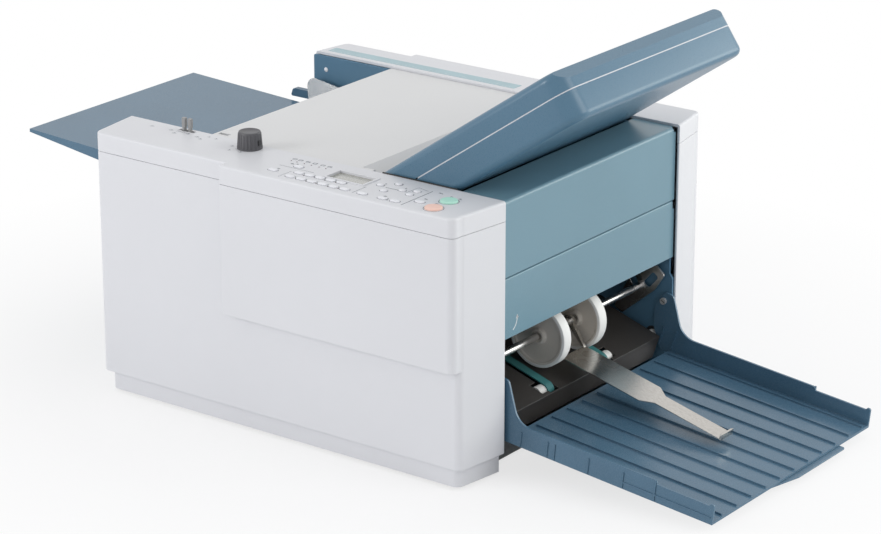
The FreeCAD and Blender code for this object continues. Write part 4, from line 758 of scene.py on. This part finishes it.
def makeTrayScrews():
    # the heads are drawn in from the node's round caps
    mesh = copyOfNode("tray_pivots")
    low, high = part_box("tray_pivots")
    axis = Vector(((low.x + high.x) / 2, 0, (low.z + high.z) / 2))
    caps = []
    for vert in mesh.verts:
        reach = math.hypot(vert.co.x - axis.x, vert.co.z - axis.z) / mm
        if abs(reach - trayScrews["capRadius"]) < trayScrews["near"]:
            caps.append(vert)
    factor = trayScrews["head"] / trayScrews["capRadius"]
    bmesh.ops.scale(mesh, vec=(factor, 1, factor), space=Matrix.Translation(-axis), verts=caps)
    headFaces = (max(v.co.y for v in caps if v.co.y < 0), min(v.co.y for v in caps if v.co.y > 0))
    piece = replaceNode("tray_pivots", "trayScrewSet", mesh, "pivotChrome")
    smoothByAngle(piece)
    roundEdges(piece, trayScrews["edge"])

    # painted shade: thin black bars on the screw heads stand in for the shade inside their slots
    mesh = bmesh.new()
    length = trayScrews["slotLength"] / 2
    width = trayScrews["slotWidth"] / 2
    height = trayScrews["slotHeight"]
    turn = Matrix.Rotation(math.radians(trayScrews["slotTurn"]), 4, "Y")
    for y in headFaces:
        place = Matrix.Translation((axis.x, y, axis.z))
        block(mesh, (-length, -height, -width), (length, height, width), place @ turn)
    addPiece("trayScrewSlotShade", mesh, "motorBlack", "chassis")


def makeGuide(node, pieceName, side):
    # the fence stays bare steel, and what stands outside it near the feed end is the blue grip
    piece = softened(node, pieceName, trays["guideEdge"], segments=2)
    piece.data.materials.append(finishes["gripBlue"])
    fence = (placing["middleY"] + side * guides["fence"]) * mm
    near = guides["near"] * mm
    for face in piece.data.polygons:
        outside = side * (face.center.y - fence)
        fenceFace = abs(outside) < near and side * face.normal.y > 0.5
        if face.center.x < guides["gripEnd"] * mm and outside > -near and not fenceFace:
            face.material_index = 1


def makeTrays():
    softened("delivery_tray", "deliveryTrayBody", trays["trayEdge"])
    softened("tray_extension", "deliveryTrayExtension", trays["sheetEdge"], segments=2)
    softened("feed_tray", "feedTrayBody", trays["sheetEdge"], segments=2)
    makeGuide("front_side_guide", "frontGuide", -1)
    makeGuide("rear_side_guide", "rearGuide", 1)
    softened("delivery_deck", "deliveryDeck", trays["deckEdge"], segments=2)
    makeTrayScrews()
    print("trays are dressed")


scaleStrip = {"x": (-250.0, 24.0), "y": 192.4, "pitch": 5.0, "lift": 0.24, "line": 0.5, "longTick": 7.0,
              "middleTick": 4.6, "shortTick": 2.6}
arrow = {"center": (-147.0, 178.0), "radius": 15.0, "turn": (-62.0, 4.0), "steps": 8, "width": 1.4,
         "head": 3.0, "lift": 0.06}


def makeScaleTicks():
    mesh = bmesh.new()
    first, last = scaleStrip["x"]
    low = scaleStrip["y"]
    z = placing["capTop"] + scaleStrip["lift"]
    for index in range(int((last - first) / scaleStrip["pitch"]) + 1):
        x = first + index * scaleStrip["pitch"]
        length = scaleStrip["shortTick"]
        if index % 10 == 0:
            length = scaleStrip["longTick"]
        elif index % 5 == 0:
            length = scaleStrip["middleTick"]
        flatBar(mesh, (x, low, z), (x, low + length, z), scaleStrip["line"])
    faceTowards(mesh, zAxis)
    addPiece("scaleTicks", mesh, "printWhite", "chassis")


def makeFlapArrow():
    # drawn flat first, and then stood up on the flap with its x along Y and its y along Z
    mesh = bmesh.new()
    across, up = arrow["center"]
    radius = arrow["radius"]
    first, last = arrow["turn"]
    ends = []
    for step in range(arrow["steps"] + 1):
        turn = math.radians(first + (last - first) * step / arrow["steps"])
        ends.append((across + radius * math.cos(turn), up + radius * math.sin(turn), 0))
    for index in range(arrow["steps"]):
        flatBar(mesh, ends[index], ends[index + 1], arrow["width"])
    bmesh.ops.create_circle(mesh, cap_ends=True, segments=3, radius=arrow["head"] * mm,
                            matrix=Matrix.Translation(metres(across + radius, up, 0)))
    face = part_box("exit_flap")[1][0] + arrow["lift"] * mm
    stand = Matrix(((0, 0, 1, face), (1, 0, 0, 0), (0, 1, 0, 0), (0, 0, 0, 1)))
    bmesh.ops.transform(mesh, matrix=stand, verts=mesh.verts)
    bmesh.ops.recalc_face_normals(mesh, faces=mesh.faces)
    faceTowards(mesh, xAxis)
    addPiece("flapArrow", mesh, "printWhite", bodyOf["exit_flap"])


def makePrints():
    makeScaleTicks()
    makeFlapArrow()
    print("printed marks are on")


studio = {  # in metres and watts
    "floor": (0.86, 0.86, 0.87), "floorSize": 9.0, "whiteNear": 0.72, "nearFloor": 0.40, "farFloor": 0.85,
    "sky": (0.97, 0.98, 1.0), "skyStrength": 0.67,
    # place, target, size, power and tint
    "lamps": {
        "keyLamp": ((-1.5, -2.6, 1.2), (0, 0, 0.15), 1.3, 31.0, (1, 1, 1)),
        "fillLamp": ((2.55, 0.6, 1.6), (0.1, 0, 0.15), 1.4, 21.0, (1.0, 0.99, 0.96)),
        "topLamp": ((0.2, 0.5, 2.6), (0, 0, 0.2), 2.0, 4.5, (1, 1, 1)),
        "rimLamp": ((2.1, 2.6, 0.6), (0.2, 0, 0.2), 1.9, 36.5, (0.97, 1.0, 0.95)),
    },
    "cameraPlace": (2.12917, -2.80203, 1.39225),
    "cameraRight": (0.804630, 0.593776, -0.000489),
    "cameraUp": (-0.198401, 0.269630, 0.942304),
    "cameraForward": (-0.559650, 0.758109, -0.334758),
    "focal": 130.33, "sensor": 36.0, "clipEnd": 40.0,
}


def backdropMaterial(name, color):
    # the camera sees the floor turn plain white away from the machine
    material, tree, shader = newMaterial(name)
    vector = objectCoords(tree)
    tone = ramp(tree, noise(tree, vector, 3.0, detail=2.0), shade(color, 0.985), shade(color, 1.01))
    tree.links.new(tone, shader.inputs["Base Color"])
    shader.inputs["Roughness"].default_value = 0.9
    shader.inputs["Specular IOR Level"].default_value = 0.1
    path = tree.nodes.new("ShaderNodeLightPath")
    away = tree.nodes.new("ShaderNodeVectorMath")
    away.operation = "LENGTH"
    tree.links.new(vector, away.inputs[0])
    white = stretch(tree, away.outputs["Value"], studio["whiteNear"], 1.0, studio["nearFloor"],
                    studio["farFloor"])
    seen = tree.nodes.new("ShaderNodeMath")
    seen.operation = "MULTIPLY"
    tree.links.new(path.outputs["Is Camera Ray"], seen.inputs[0])
    tree.links.new(white, seen.inputs[1])
    plain = tree.nodes.new("ShaderNodeEmission")
    plain.inputs["Strength"].default_value = 1.0
    mix = tree.nodes.new("ShaderNodeMixShader")
    tree.links.new(seen.outputs["Value"], mix.inputs["Fac"])
    tree.links.new(shader.outputs["BSDF"], mix.inputs[1])
    tree.links.new(plain.outputs["Emission"], mix.inputs[2])
    output = next(node for node in tree.nodes if node.type == "OUTPUT_MATERIAL")
    tree.links.new(mix.outputs["Shader"], output.inputs["Surface"])
    return material


def makeFloor():
    mesh = bmesh.new()
    bmesh.ops.create_grid(mesh, x_segments=1, y_segments=1, size=studio["floorSize"])
    data = bpy.data.meshes.new("studioFloor")
    mesh.to_mesh(data)
    mesh.free()
    floor = bpy.data.objects.new("studioFloor", data)
    bpy.context.scene.collection.objects.link(floor)
    data.materials.append(backdropMaterial("floorPale", studio["floor"]))


def makeWorld():
    # the object is lit by a soft sky, and camera, glossy and transmitted rays see plain white
    world = bpy.data.worlds.new("studioWorld")
    bpy.context.scene.world = world
    world.use_nodes = True
    tree = world.node_tree
    tree.nodes.clear()
    output = tree.nodes.new("ShaderNodeOutputWorld")
    light = tree.nodes.new("ShaderNodeBackground")
    light.inputs["Color"].default_value = (*studio["sky"], 1)
    light.inputs["Strength"].default_value = studio["skyStrength"]
    seen = tree.nodes.new("ShaderNodeBackground")
    seen.inputs["Color"].default_value = (1, 1, 1, 1)
    seen.inputs["Strength"].default_value = 1.0
    path = tree.nodes.new("ShaderNodeLightPath")
    either = tree.nodes.new("ShaderNodeMath")
    either.operation = "MAXIMUM"
    glossy = tree.nodes.new("ShaderNodeMath")
    glossy.operation = "MAXIMUM"
    mix = tree.nodes.new("ShaderNodeMixShader")
    tree.links.new(path.outputs["Is Camera Ray"], either.inputs[0])
    tree.links.new(path.outputs["Is Transmission Ray"], either.inputs[1])
    tree.links.new(either.outputs["Value"], glossy.inputs[0])
    tree.links.new(path.outputs["Is Glossy Ray"], glossy.inputs[1])
    tree.links.new(glossy.outputs["Value"], mix.inputs["Fac"])
    tree.links.new(light.outputs["Background"], mix.inputs[1])
    tree.links.new(seen.outputs["Background"], mix.inputs[2])
    tree.links.new(mix.outputs["Shader"], output.inputs["Surface"])


def makeLamp(name, place, target, size, power, tint):
    light = bpy.data.lights.new(name, "AREA")
    light.color = tint
    light.energy = power
    light.size = size
    item = bpy.data.objects.new(name, light)
    item.visible_camera = False
    bpy.context.scene.collection.objects.link(item)
    item.location = place
    item.rotation_euler = (Vector(target) - Vector(place)).to_track_quat("-Z", "Y").to_euler()


def makeCamera():
    camera = bpy.data.cameras.new("studioCamera")
    camera.sensor_fit = "HORIZONTAL"
    camera.sensor_width = studio["sensor"]
    camera.lens = studio["focal"]
    camera.clip_end = studio["clipEnd"]
    item = bpy.data.objects.new("studioCamera", camera)
    bpy.context.scene.collection.objects.link(item)
    right = Vector(studio["cameraRight"])
    up = Vector(studio["cameraUp"])
    back = -Vector(studio["cameraForward"])
    matrix = Matrix((right, up, back)).transposed().to_4x4()
    item.matrix_world = Matrix.Translation(studio["cameraPlace"]) @ matrix
    bpy.context.scene.camera = item
    bpy.context.scene.view_settings.view_transform = "Standard"


def makeStudio():
    makeFloor()
    makeWorld()
    for name, values in studio["lamps"].items():
        makeLamp(name, *values)
    makeCamera()
    print("studio is set")


makeCasing()
makeFoldPlate()
makeControlPanel()
makeKnob()
makeLevers()
makeWheels()
makeTrays()
makePrints()
makeStudio()
bpy.context.view_layer.update()
